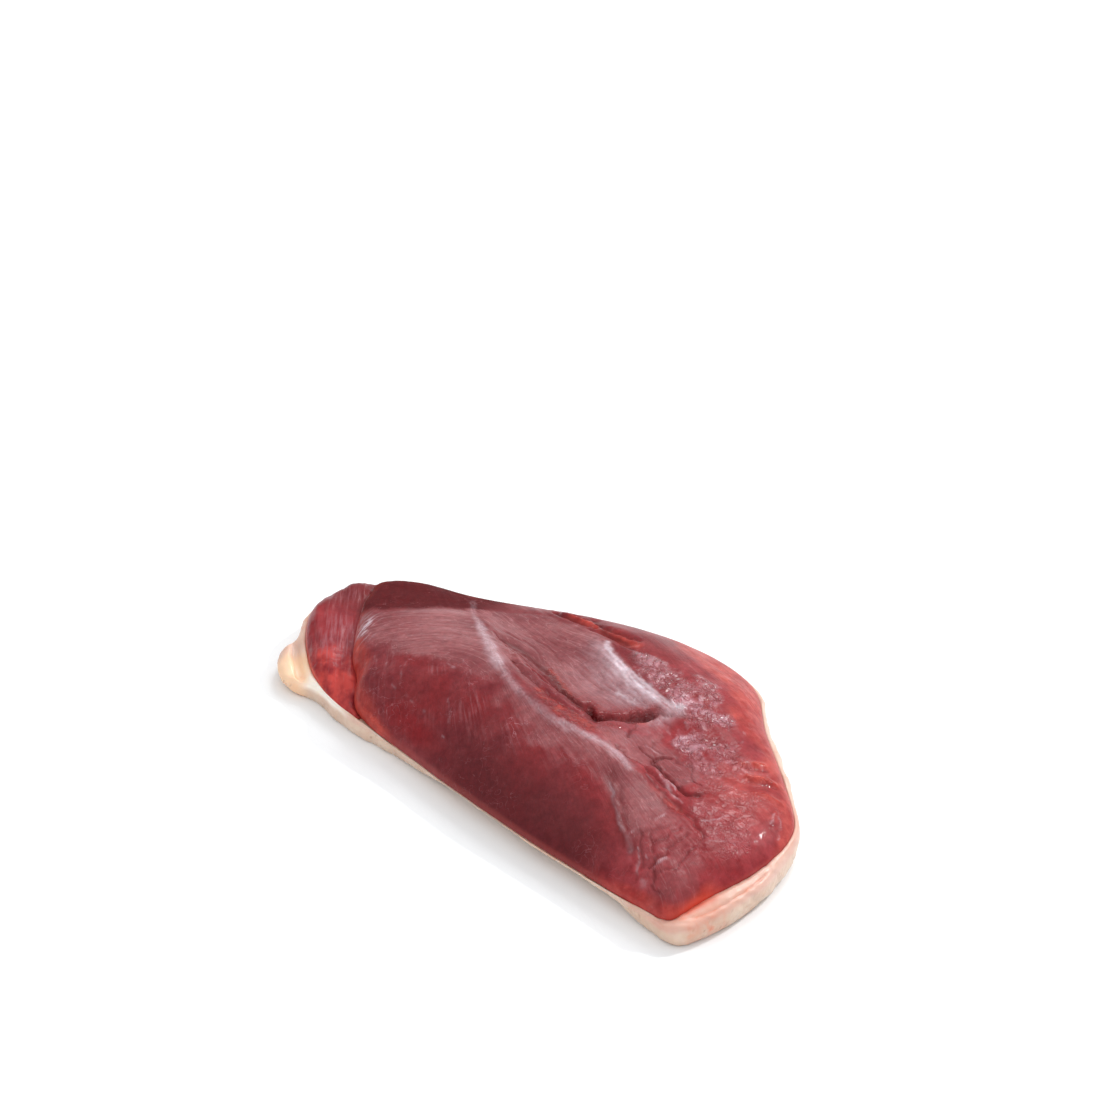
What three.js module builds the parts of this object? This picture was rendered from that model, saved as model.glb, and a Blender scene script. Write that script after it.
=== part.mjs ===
// A raw duck breast lying skin side down, meat side up, in millimetres with +Z up.
//
// Three solids are stacked like the real cut. A dish of skin with its fat lies on the table,
// the small muscle of the narrow end lies in that dish, and the large breast muscle fills the
// rest and laps over the small one with a rounded lip.
//
// All three are worked out on the same spokes. A spoke runs from a core line, along the middle
// of the meat, out to the meat's edge. Each solid is a closed loop of heights along every spoke.
//
// The origin is on the table under the middle of the footprint. +X runs along the meat to its
// broad end, +Y across it to the wing side, and +Z up.
import * as THREE from 'three';
import { mergeVertices } from 'three/addons/utils/BufferGeometryUtils.js';

// How fine the solids are.
const SPOKES = 120;
const TOP_RINGS = 27;
const CURVE_STEPS = 24;
const MERGE_DISTANCE = 1e-4;

// Spokes stand closer at the narrow end, whose shape is finer: by how much, and from where.
const NARROW_END = { x: -85, width: 24, crowding: 0.8 };

// The skin with its fat, and the edge of the meat that lies on it.
const FAT_THICKNESS = 4.5;
const EDGE_CURL = 1.2;
const GAP = 0.3;
const DISH_FLAT_SHARE = 0.3;
const DISH_POWER = 2.5;
const LEDGE_START = 0.35;
const LEDGE_LIFT = 0.75;
const SHOULDER_POWER = 0.6;
const CURL_TURNS = [Math.PI / 4, Math.PI / 2];

// Where the skin stands out well it is widest at this share of its height, and where it does not
// it is widest close below the meat. Between those its stand-out decides, up to a full one.
const WIDEST_SHARE_FULL = 0.6;
const WIDEST_SHARE_NONE = 0.9;
const FULL_STAND_OUT = 1.5;
const LEDGE_FROM = 0.5;

// The flank below is round where its foot is near, and straight where the foot is far in.
const ROUND_FOOT = 4;
const STRAIGHT_FOOT = 8;

// The lump of fat at the narrow end, with the cleft between it and the strip of fat beside the meat.
const LUMP = {
  x: -72.5, y: -29.7, halfWidth: 10, power: 6, standOut: 6.8, cleftDepth: 1.8, cleftAt: 3.2, cleftWidth: 1.3,
};

// The breast muscle's lap over the end muscle.
const LAP_WIDTH = 9;
const LAP_TIP_SHARE = 0.25;
const END_MUSCLE_SWELL = 0.8;
const END_MUSCLE_LEAST_RISE = 1;

// The meat's top rolls down to its edge along this power of a circle.
const ROLL_POWER = 2.2;

// Round the edge of the meat from the middle of the narrow end, anticlockwise from above:
// x, y, edge height, width of the roll-down, skin's stand-out, how far in its foot is,
// the breast muscle's share of the spoke, and the height of its edge there.
const EDGE = [
  [-90.2, -5.0, 8.5, 6, 1.2, 5.0, 0.60, 13.2],
  [-88.0, -14.0, 8.5, 6, 2.2, 3.5, 0.55, 13.3],
  [-81.5, -22.0, 8.2, 6, 2.4, 2.5, 0.58, 13.2],
  [-74.0, -28.5, 7.6, 6, 2.4, 2.4, 0.64, 12.5],
  [-66.5, -33.3, 7.0, 6, 1.8, 2.0, 0.71, 11.2],
  [-58.0, -36.6, 6.4, 6, 1.2, 1.4, 0.77, 9.2],
  [-47.5, -38.4, 5.8, 8, 0.8, 1.2, 0.93, 6.6],
  [-34.5, -39.2, 5.5, 18, 0.5, 1.6, 1.00, 5.5],
  [-19.5, -41.0, 5.5, 26, 0.0, 3.2, 1.00, 5.5],
  [1.5, -44.0, 6.0, 30, -0.9, 8.0, 1.00, 6.0],
  [29.5, -46.4, 6.0, 30, -0.9, 9.5, 1.00, 6.0],
  [55.5, -47.4, 6.0, 26, -0.5, 8.5, 1.00, 6.0],
  [72.5, -47.8, 6.0, 16, 0.9, 3.4, 1.00, 6.0],
  [81.2, -46.6, 6.4, 9, 2.8, 2.2, 1.00, 6.4],
  [84.4, -39.2, 8.0, 10, 5.6, 2.6, 1.00, 8.0],
  [86.6, -26.0, 9.3, 13, 5.3, 2.8, 1.00, 9.3],
  [87.3, -10.0, 9.5, 13, 1.8, 3.0, 1.00, 9.5],
  [82.5, 3.0, 9.5, 14, 0.6, 3.2, 1.00, 9.5],
  [69.0, 16.2, 9.5, 16, 0.9, 4.0, 1.00, 9.5],
  [51.0, 31.0, 9.5, 18, 1.0, 5.0, 1.00, 9.5],
  [33.5, 45.0, 9.5, 19, 0.8, 5.0, 1.00, 9.5],
  [11.5, 48.4, 9.5, 20, 0.6, 5.0, 1.00, 9.5],
  [-12.5, 43.5, 9.5, 20, 0.6, 5.0, 1.00, 9.5],
  [-36.5, 34.0, 9.5, 18, 0.6, 5.0, 1.00, 9.5],
  [-58.5, 24.5, 9.5, 15, 0.8, 5.0, 1.00, 9.5],
  [-74.5, 19.0, 9.3, 10, 1.0, 5.0, 1.00, 9.6],
  [-84.0, 11.0, 9.0, 7, 1.1, 5.0, 0.94, 11.0],
  [-89.5, 3.5, 8.6, 6, 1.2, 5.0, 0.71, 12.8],
];
const BROAD_END_MIDDLE = 15;

// The core line, and how strongly its points crowd towards its two ends, where the spokes fan out.
const CORE_START = [-52.5, -4];
const CORE_END = [57.5, -9];
const CORE_CROWDING = 0.8;

// The rounded bellies that make the top: middle, half length, half width, heading and height.
const BELLY_BASE = 11;
const BELLY_BLEND = 1.5;
const BELLIES = [
  { x: -4.5, y: -17, length: 78, width: 30, heading: -9, height: 15 },
  { x: 17.5, y: 21, length: 60, width: 26, heading: -14, height: 11 },
  { x: 63.5, y: -15, length: 30, width: 34, heading: 0, height: 7.5 },
];

// Ridges and furrows of the top: how far each rises or sinks, its half width and its smooth line.
const STROKES = {
  tendonRidge: {
    rise: 1.2,
    width: 3.5,
    line: [[-41, 11], [-27, 0], [-15, -8.5], [-2, -14], [12, -16.5], [42, -18]],
  },
  longFurrow: { rise: -2.6, width: 3, line: [[-24, 2.5], [-15, 1.5], [-2, -2.5], [9, -7.5], [22, -10.5]] },
  deepSlit: { rise: -3.8, width: 3.3, line: [[21.5, -10], [23, -3], [27, 0], [31, 4]] },
  hookedCrease: {
    rise: -2,
    width: 2.2,
    line: [[43, -11], [49, -12], [55.5, -14.5], [61, -15.5], [62.5, -12]],
  },
  sideCrease: { rise: -1.4, width: 2, line: [[46, -16], [52.5, -18.5], [62.5, -20.5]] },
  frontFold: { rise: -1.5, width: 2.4, line: [[40.5, -24], [49, -31.5], [61, -39]] },
  wingSideCrease: { rise: -1.8, width: 2.6, line: [[-17, 33], [-8, 27.5], [2, 26]] },
};

// Where the rings and points of a section lie, as shares of the stretch that they divide.
const SEAT_SHARES = [0, 0.3, 0.55, 0.75, 0.9, 1];
const SHOULDER_SHARES = [0, 0.15, 0.4, 0.7, 1];
const FLANK_SHARES = [1 / 3, 2 / 3, 1];
const LAP_SHARES = [0.2, 0.4, 0.6, 0.8, 1];
const UNDERSIDE_SHARES = [0.75, 0.5, 0.25, 0];
const END_MUSCLE_SEAT_SHARES = [0, 0.3, 0.6, 0.85];
const END_MUSCLE_LAP_SHARES = [0.2, 0.4, 0.6];
const END_MUSCLE_TOP_STEPS = 6;

function catmullRom(p0, p1, p2, p3, t) {
  return p1.map((_, k) => 0.5 * (2 * p1[k] + (p2[k] - p0[k]) * t
    + (2 * p0[k] - 5 * p1[k] + 4 * p2[k] - p3[k]) * t * t
    + (3 * p1[k] - p0[k] - 3 * p2[k] + p3[k]) * t * t * t));
}

// The smooth curve through a run of points: pick gives the point at any whole number.
function smoothRun(pick, from, to) {
  const run = [];
  for (let i = from; i < to; i += 1) {
    for (let step = 0; step < CURVE_STEPS; step += 1) {
      run.push(catmullRom(pick(i - 1), pick(i), pick(i + 1), pick(i + 2), step / CURVE_STEPS));
    }
  }
  run.push([...pick(to)]);
  return run;
}

// How many times closer than elsewhere the spokes stand at a place along the breast.
function closeness(x) {
  const aside = (x - NARROW_END.x) / NARROW_END.width;
  return 1 + NARROW_END.crowding * Math.exp(-aside * aside);
}

// count rows spread along a run, closer at the narrow end, without the run's last point.
function spreadAlong(run, count) {
  const length = [0];
  for (let i = 1; i < run.length; i += 1) {
    const step = Math.hypot(run[i][0] - run[i - 1][0], run[i][1] - run[i - 1][1]);
    length.push(length[i - 1] + step * closeness(run[i][0]));
  }
  const rows = [];
  let i = 1;
  for (let n = 0; n < count; n += 1) {
    const target = (length[length.length - 1] * n) / count;
    while (length[i] < target) {
      i += 1;
    }
    const share = (target - length[i - 1]) / (length[i] - length[i - 1]);
    rows.push(run[i - 1].map((value, k) => value + (run[i][k] - value) * share));
  }
  return rows;
}

function makeSpokes() {
  const pick = (i) => EDGE[(i + EDGE.length) % EDGE.length];
  const half = SPOKES / 2;
  const rows = [
    ...spreadAlong(smoothRun(pick, 0, BROAD_END_MIDDLE), half),
    ...spreadAlong(smoothRun(pick, BROAD_END_MIDDLE, EDGE.length), half),
  ];
  return rows.map(([x, y, rim, roll, over, foot, share, lip], i) => {
    const q = Math.min(i, SPOKES - i) / half;
    const along = q - (CORE_CROWDING * Math.sin(2 * Math.PI * q)) / (2 * Math.PI);
    const core = CORE_START.map((start, k) => start + (CORE_END[k] - start) * along);
    const reach = Math.hypot(x - core[0], y - core[1]);
    const lump = Math.exp(-((Math.hypot(x - LUMP.x, y - LUMP.y) / LUMP.halfWidth) ** LUMP.power));
    return {
      core,
      reach,
      out: [(x - core[0]) / reach, (y - core[1]) / reach],
      rim,
      roll,
      over: over + LUMP.standOut * lump,
      foot,
      share: Math.min(share, 1),
      lip,
      lump,
    };
  });
}

// The point of a spoke at a distance from the core, at a height.
function onSpoke(spoke, distance, z) {
  return [spoke.core[0] + spoke.out[0] * distance, spoke.core[1] + spoke.out[1] * distance, z];
}

function distanceToLine(x, y, line) {
  let nearest = Infinity;
  for (let i = 1; i < line.length; i += 1) {
    const [ax, ay] = line[i - 1];
    const dx = line[i][0] - ax;
    const dy = line[i][1] - ay;
    const t = clamp(((x - ax) * dx + (y - ay) * dy) / (dx * dx + dy * dy));
    nearest = Math.min(nearest, Math.hypot(x - ax - t * dx, y - ay - t * dy));
  }
  return nearest;
}

const strokes = Object.values(STROKES).map(({ line, rise, width }) => {
  const pick = (i) => line[Math.min(line.length - 1, Math.max(0, i))];
  return { rise, width, run: smoothRun(pick, 0, line.length - 1) };
});

// The meat's height away from its edge: a smooth maximum of the bellies, with the strokes added.
function meatHeight(x, y) {
  let sum = 0;
  for (const belly of BELLIES) {
    const heading = THREE.MathUtils.degToRad(belly.heading);
    const dx = x - belly.x;
    const dy = y - belly.y;
    const along = (dx * Math.cos(heading) + dy * Math.sin(heading)) / belly.length;
    const across = (dy * Math.cos(heading) - dx * Math.sin(heading)) / belly.width;
    sum += Math.exp((belly.height * Math.exp(-along * along - across * across)) / BELLY_BLEND);
  }
  let z = BELLY_BASE + BELLY_BLEND * Math.log(sum / BELLIES.length);
  for (const { rise, width, run } of strokes) {
    const q = distanceToLine(x, y, run) / width;
    z += rise * Math.exp(-q * q);
  }
  return z;
}

// How far a top has risen, from 0 at its edge to 1, at q roll widths from the edge.
function rollUp(q) {
  return Math.sqrt(1 - (1 - clamp(q)) ** ROLL_POWER);
}

function clamp(t) {
  return Math.min(1, Math.max(0, t));
}

function ease(t) {
  return t * t * (3 - 2 * t);
}

// The top of the skin and fat under the meat, at a distance from the core: flat, then up to the edge.
function seatHeight(spoke, distance) {
  const edge = spoke.rim - EDGE_CURL - GAP;
  const q = clamp((distance / spoke.reach - DISH_FLAT_SHARE) / (1 - DISH_FLAT_SHARE));
  return FAT_THICKNESS + (edge - FAT_THICKNESS) * q ** DISH_POWER;
}

// The breast muscle's underside, at a distance from the core: on the seat, then up over the end muscle.
function underside(spoke, distance) {
  const end = spoke.reach * spoke.share;
  const lapStart = end - LAP_WIDTH;
  const seat = seatHeight(spoke, distance) + GAP;
  const climb = Math.max(0, spoke.lip - EDGE_CURL - seatHeight(spoke, end) - GAP);
  return seat + climb * ease(clamp((distance - lapStart) / LAP_WIDTH));
}

// The rounded lower edge of a muscle whose widest point is at a distance and a height.
function curl(spoke, distance, z, turn) {
  const inward = EDGE_CURL * (1 - Math.cos(turn));
  return onSpoke(spoke, distance - inward, z - EDGE_CURL * Math.sin(turn));
}

// A closed body from rows of points, with each row a closed ring. Equal points are shared, and a
// ring whose points pair off is thereby closed. capped adds a fan over the first and last ring.
function bodyFromRings(rings, capped) {
  const positions = [];
  const addTriangle = (a, b, c) => positions.push(...a, ...b, ...c);
  const count = rings[0].length;
  for (let r = 1; r < rings.length; r += 1) {
    for (let i = 0; i < count; i += 1) {
      const next = (i + 1) % count;
      addTriangle(rings[r - 1][i], rings[r][i], rings[r][next]);
      addTriangle(rings[r - 1][i], rings[r][next], rings[r - 1][next]);
    }
  }
  if (capped) {
    const first = rings[0];
    const last = rings[rings.length - 1];
    for (let i = 1; i < count - 1; i += 1) {
      addTriangle(first[0], first[i], first[i + 1]);
      addTriangle(last[0], last[i + 1], last[i]);
    }
  }
  const loose = new THREE.BufferGeometry();
  loose.setAttribute('position', new THREE.Float32BufferAttribute(positions, 3));
  const shared = mergeVertices(loose, MERGE_DISTANCE);
  const index = shared.getIndex().array;
  const kept = [];
  for (let i = 0; i < index.length; i += 3) {
    const [a, b, c] = [index[i], index[i + 1], index[i + 2]];
    if (a !== b && b !== c && c !== a) {
      kept.push(a, b, c);
    }
  }
  shared.setIndex(kept);
  shared.computeVertexNormals();
  return shared;
}

// Ring distances that crowd towards the edge, as shares from 0 to 1.
function crowdedShares(count) {
  return Array.from({ length: count + 1 }, (_, k) => Math.sin((k / count) * (Math.PI / 2)));
}

function breastMuscle(spokes) {
  const rings = crowdedShares(TOP_RINGS).map((g) => spokes.map((spoke) => {
    const end = spoke.reach * spoke.share;
    const [x, y] = onSpoke(spoke, end * g, 0);
    const rise = rollUp((end * (1 - g)) / spoke.roll);
    return [x, y, spoke.lip + (meatHeight(x, y) - spoke.lip) * rise];
  }));
  for (const turn of CURL_TURNS) {
    rings.push(spokes.map((spoke) => curl(spoke, spoke.reach * spoke.share, spoke.lip, turn)));
  }
  for (const back of LAP_SHARES) {
    rings.push(spokes.map((spoke) => {
      const distance = spoke.reach * spoke.share - EDGE_CURL - (LAP_WIDTH - EDGE_CURL) * back;
      return onSpoke(spoke, distance, underside(spoke, distance));
    }));
  }
  for (const g of UNDERSIDE_SHARES) {
    rings.push(spokes.map((spoke) => {
      const distance = (spoke.reach * spoke.share - LAP_WIDTH) * g;
      return onSpoke(spoke, distance, underside(spoke, distance));
    }));
  }
  return bodyFromRings(rings, false);
}

// The end muscle's section along one spoke, a closed loop: out along the seat, round the edge,
// back along the top that shows, and down under the breast muscle's lap.
function endMuscleSection(spoke) {
  const lipAt = spoke.reach * spoke.share;
  const tip = lipAt - LAP_WIDTH * (1 - LAP_TIP_SHARE);
  const low = (distance) => onSpoke(spoke, distance, seatHeight(spoke, distance) + GAP);
  const loop = END_MUSCLE_SEAT_SHARES.map((g) => low(tip + (spoke.reach - EDGE_CURL - tip) * g));
  for (const turn of [...CURL_TURNS].reverse()) {
    loop.push(curl(spoke, spoke.reach, spoke.rim, turn));
  }
  const shown = spoke.reach - lipAt;
  const lipTop = spoke.lip - EDGE_CURL - GAP;
  for (const g of crowdedShares(END_MUSCLE_TOP_STEPS).reverse()) {
    const swell = END_MUSCLE_SWELL * 4 * g * (1 - g);
    const rise = rollUp((shown * (1 - g)) / spoke.roll);
    loop.push(onSpoke(spoke, lipAt + shown * g, spoke.rim + (lipTop + swell - spoke.rim) * rise));
  }
  for (const back of END_MUSCLE_LAP_SHARES) {
    const distance = lipAt - EDGE_CURL - (LAP_WIDTH - EDGE_CURL) * back;
    loop.push(onSpoke(spoke, distance, underside(spoke, distance) - GAP));
  }
  return loop;
}

function endMuscle(spokes) {
  const half = SPOKES / 2;
  const fromFarCorner = [...spokes.slice(half), ...spokes.slice(0, half)];
  const rings = fromFarCorner
    .filter((spoke) => spoke.lip - spoke.rim > END_MUSCLE_LEAST_RISE)
    .map(endMuscleSection);
  return bodyFromRings(rings, true);
}

// The skin's section along one spoke beyond the meat: the step at the meat's edge, the shoulder
// out to the widest point, and the flank in to the foot on the table.
function skinRim(spoke) {
  const seat = spoke.rim - EDGE_CURL - GAP;
  const start = Math.min(LEDGE_START, LEDGE_START * spoke.over);
  const ledge = clamp((spoke.over - LEDGE_FROM) / FULL_STAND_OUT);
  const top = seat + EDGE_CURL * LEDGE_LIFT * ledge;
  const fullness = clamp(spoke.over / FULL_STAND_OUT);
  const widest = seat * (WIDEST_SHARE_NONE + (WIDEST_SHARE_FULL - WIDEST_SHARE_NONE) * fullness);
  const points = [onSpoke(spoke, spoke.reach + start, seat)];
  for (const t of SHOULDER_SHARES) {
    const turn = (t * Math.PI) / 2;
    const out = start + (spoke.over - start) * Math.sin(turn) ** SHOULDER_POWER;
    const aside = (out - LUMP.cleftAt) / LUMP.cleftWidth;
    const cleft = spoke.lump * LUMP.cleftDepth * Math.exp(-aside * aside);
    const z = widest + (top - widest) * Math.cos(turn) ** SHOULDER_POWER - cleft;
    points.push(onSpoke(spoke, spoke.reach + out, z));
  }
  const power = 1 + clamp((spoke.foot - ROUND_FOOT) / (STRAIGHT_FOOT - ROUND_FOOT));
  for (const t of FLANK_SHARES) {
    const turn = (t * Math.PI) / 2;
    const inward = spoke.foot * (1 - clamp(Math.cos(turn)) ** power);
    const z = widest * (1 - Math.sin(turn) ** power);
    points.push(onSpoke(spoke, spoke.reach + spoke.over - inward, z));
  }
  return points;
}

function skinAndFat(spokes) {
  const rings = SEAT_SHARES.map((g) => spokes.map((spoke) => {
    const distance = (spoke.reach - EDGE_CURL) * g;
    return onSpoke(spoke, distance, seatHeight(spoke, distance));
  }));
  const rims = spokes.map(skinRim);
  for (let k = 0; k < rims[0].length; k += 1) {
    rings.push(rims.map((rim) => rim[k]));
  }
  rings.push(spokes.map((spoke) => onSpoke(spoke, 0, 0)));
  return bodyFromRings(rings, false);
}

const MEAT_RED = '#7e3539';
const END_MUSCLE_RED = '#a34648';
const SKIN_CREAM = '#f1d9c0';

function rawMeat(colour) {
  return new THREE.MeshStandardMaterial({ color: colour, roughness: 0.35, metalness: 0 });
}

function fattySkin() {
  return new THREE.MeshStandardMaterial({ color: SKIN_CREAM, roughness: 0.5, metalness: 0 });
}

function piece(name, geometry, material) {
  const mesh = new THREE.Mesh(geometry, material);
  mesh.name = name;
  return mesh;
}

const spokes = makeSpokes();
const duckBreast = new THREE.Group();
duckBreast.add(
  piece('breast_muscle', breastMuscle(spokes), rawMeat(MEAT_RED)),
  piece('end_muscle', endMuscle(spokes), rawMeat(END_MUSCLE_RED)),
  piece('skin_fat', skinAndFat(spokes), fattySkin()),
);

export default duckBreast;
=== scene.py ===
# %% [markdown]
# # A raw duck breast
# The object is one boned duck breast lying skin side down, so the wet red meat shows. It has three
# pieces: the large breast muscle, the small muscle tucked under it at the narrow end, and the skin
# with its fat below both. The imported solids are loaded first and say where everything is. Each
# finely modelled piece then takes the place of its plain solid, so nothing needs fitting.

import bpy
import numpy as np
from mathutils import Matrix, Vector


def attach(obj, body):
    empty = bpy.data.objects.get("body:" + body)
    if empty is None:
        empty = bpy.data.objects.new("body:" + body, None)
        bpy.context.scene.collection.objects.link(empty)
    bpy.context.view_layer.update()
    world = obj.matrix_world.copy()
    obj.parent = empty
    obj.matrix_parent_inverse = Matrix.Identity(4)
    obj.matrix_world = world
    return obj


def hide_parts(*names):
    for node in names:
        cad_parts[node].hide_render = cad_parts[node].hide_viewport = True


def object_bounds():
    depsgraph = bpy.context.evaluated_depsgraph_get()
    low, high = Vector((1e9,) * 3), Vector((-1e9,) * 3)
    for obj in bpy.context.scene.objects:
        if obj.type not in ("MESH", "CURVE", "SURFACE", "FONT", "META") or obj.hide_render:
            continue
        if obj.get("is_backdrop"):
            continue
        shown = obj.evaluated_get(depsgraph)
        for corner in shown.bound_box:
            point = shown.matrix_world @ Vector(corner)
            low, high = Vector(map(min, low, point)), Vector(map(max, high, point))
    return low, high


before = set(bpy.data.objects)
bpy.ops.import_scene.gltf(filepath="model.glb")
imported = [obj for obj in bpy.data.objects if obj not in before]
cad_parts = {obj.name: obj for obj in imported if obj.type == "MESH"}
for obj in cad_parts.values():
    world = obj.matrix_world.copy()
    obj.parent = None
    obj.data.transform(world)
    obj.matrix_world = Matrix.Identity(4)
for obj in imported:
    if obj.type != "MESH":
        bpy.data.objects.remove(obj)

CAD_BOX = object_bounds()
print("nodes", sorted(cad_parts), "box", CAD_BOX)

# %% [markdown]
# ## Colours and nodes
# Colours are written as the hex values that a picture editor shows. Cycles works in linear light,
# so one function turns them over. A second small function adds any shader node with its settings
# and links. A material could be clicked together by hand, but written down it can be read, as a
# list of what lies over what.

# %% Hex colours
MM = 0.001


def linear(hex_colour):
    """sRGB hex to linear RGBA: low values are divided by 12.92, the rest follow a 2.4 power."""
    srgb = np.array([int(hex_colour[i:i + 2], 16) for i in (1, 3, 5)]) / 255
    rgb = np.where(srgb <= 0.04045, srgb / 12.92, ((srgb + 0.055) / 1.055) ** 2.4)
    return (*rgb, 1.0)


print("half grey in linear light", round(linear("#808080")[0], 3))


# %% Nodes and materials
def add(tree, kind, *inputs, out=None, **settings):
    """Adds a shader node and returns its output called out, or else the first that is live.

    kind may end with the node's operation or data type. inputs fill the live sockets in order, and
    settings are properties, or sockets by name. A value is a socket, a number or a hex colour."""
    kind, _, mode = kind.partition(" ")
    node = tree.nodes.new("ShaderNode" + kind)
    if mode:
        setattr(node, "operation" if hasattr(node, "operation") else "data_type", mode)
    filled = list(zip([socket for socket in node.inputs if socket.enabled], inputs))
    for name, value in settings.items():
        if hasattr(node, name):
            setattr(node, name, value)
        else:
            filled.append((node.inputs[name], value))
    for socket, value in filled:
        if isinstance(value, bpy.types.NodeSocket):
            tree.links.new(value, socket)
        else:
            socket.default_value = linear(value) if isinstance(value, str) else value
    return node.outputs[out] if out else next((live for live in node.outputs if live.enabled), None)


def new_material(name):
    """An empty node material, and its node tree."""
    material = bpy.data.materials.new(name)
    material.use_nodes = True
    material.node_tree.nodes.clear()
    return material, material.node_tree


def coat_piece(piece, material, **settings):
    """Gives the piece a material whose surface is a principled shader with these settings."""
    tree = material.node_tree
    add(tree, "OutputMaterial", add(tree, "BsdfPrincipled", **settings))
    piece.data.materials.append(material)
    print(material.name, "has", len(tree.nodes), "nodes")


# %% [markdown]
# ## Camera, light and floor
# The photo looks down at the breast from in front of its keel side, with a long lens. A big soft
# lamp behind it and to the right lets the top glisten and leaves the near slope dark, and an even
# white surround fills the shadows, so the pale floor almost disappears. A picture of a studio
# could light it too, but four lamps need no file and are easy to move.

# %% Camera
VIEW_AZIMUTH = np.radians(43)
VIEW_PITCH = np.radians(31.71)
CAMERA_PLACE = (0.4488, -0.4858, 0.4707)
LENS = 93.8
SENSOR_WIDTH = 36
NEAREST_SEEN = 0.01

scene = bpy.context.scene
camera_data = bpy.data.cameras.new("camera")
camera_data.lens = LENS
camera_data.sensor_width = SENSOR_WIDTH
camera_data.clip_start = NEAREST_SEEN
camera = bpy.data.objects.new("camera", camera_data)
level = np.cos(VIEW_PITCH)
look = Vector((-np.sin(VIEW_AZIMUTH) * level, np.cos(VIEW_AZIMUTH) * level, -np.sin(VIEW_PITCH)))
camera.location = CAMERA_PLACE
camera.rotation_euler = look.to_track_quat("-Z", "Y").to_euler()
scene.collection.objects.link(camera)
bpy.context.scene.camera = camera
print("camera", round(Vector(CAMERA_PLACE).length, 3), "m away, lens", LENS, "mm")

# %% Surround and lamps
SURROUND = 0.6
# Every lamp is a soft square that faces the breast. Places and sides are in metres, power in watts.
LAMPS = {
    "ceiling": {"place": (0, 0, 1.6), "side": 3.0, "power": 14},
    "window": {"place": (-0.25, 0.80, 0.95), "side": 0.45, "power": 4.5},
    "spark": {"place": (0.30, 0.80, 0.75), "side": 0.05, "power": 6},
    "front": {"place": (0.35, -0.7, 0.5), "side": 0.8, "power": 1.5},
}

scene.view_settings.view_transform = "Standard"
scene.view_settings.look = "None"
world = bpy.data.worlds.new("surround")
world.use_nodes = True
background = world.node_tree.nodes["Background"]
background.inputs["Color"].default_value = linear("#ffffff")
background.inputs["Strength"].default_value = SURROUND
scene.world = world
for name, wanted in LAMPS.items():
    light = bpy.data.lights.new(name, "AREA")
    light.shape = "SQUARE"
    light.size = wanted["side"]
    light.energy = wanted["power"]
    lamp = bpy.data.objects.new(name, light)
    lamp.location = wanted["place"]
    lamp.rotation_euler = (-Vector(wanted["place"])).to_track_quat("-Z", "Y").to_euler()
    scene.collection.objects.link(lamp)
print("lamps", *LAMPS)

# %% Floor
FLOOR_HALF = 3
FLOOR_DROP = 0.02 * MM

floor_mesh = bpy.data.meshes.new("floor")
corners = [(a * FLOOR_HALF, b * FLOOR_HALF, 0) for a, b in ((-1, -1), (1, -1), (1, 1), (-1, 1))]
floor_mesh.from_pydata(corners, [], [(0, 1, 2, 3)])
floor = bpy.data.objects.new("floor", floor_mesh)
floor.location.z = -FLOOR_DROP
scene.collection.objects.link(floor)
# White laminate, matt: it shows soft shadows and no reflection.
material, tree = new_material("white_laminate")
coat_piece(floor, material, **{"Base Color": "#f1f3f5", "Roughness": 0.9, "Specular IOR Level": 0.0})
floor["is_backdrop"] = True

# %% [markdown]
# ## The edge of the meat
# The outline could be traced point by point, but few points and a smooth curve are easier to
# change. It is drawn once, round the meat's edge. Each point also carries how high the edge lies
# there, how wide the top's roll-down is, how far the skin stands out, and where the large muscle
# ends over the small one. A Catmull-Rom curve carries all of these along together. It is cut into
# spokes that run from a core line inside the meat out to its edge.

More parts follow.
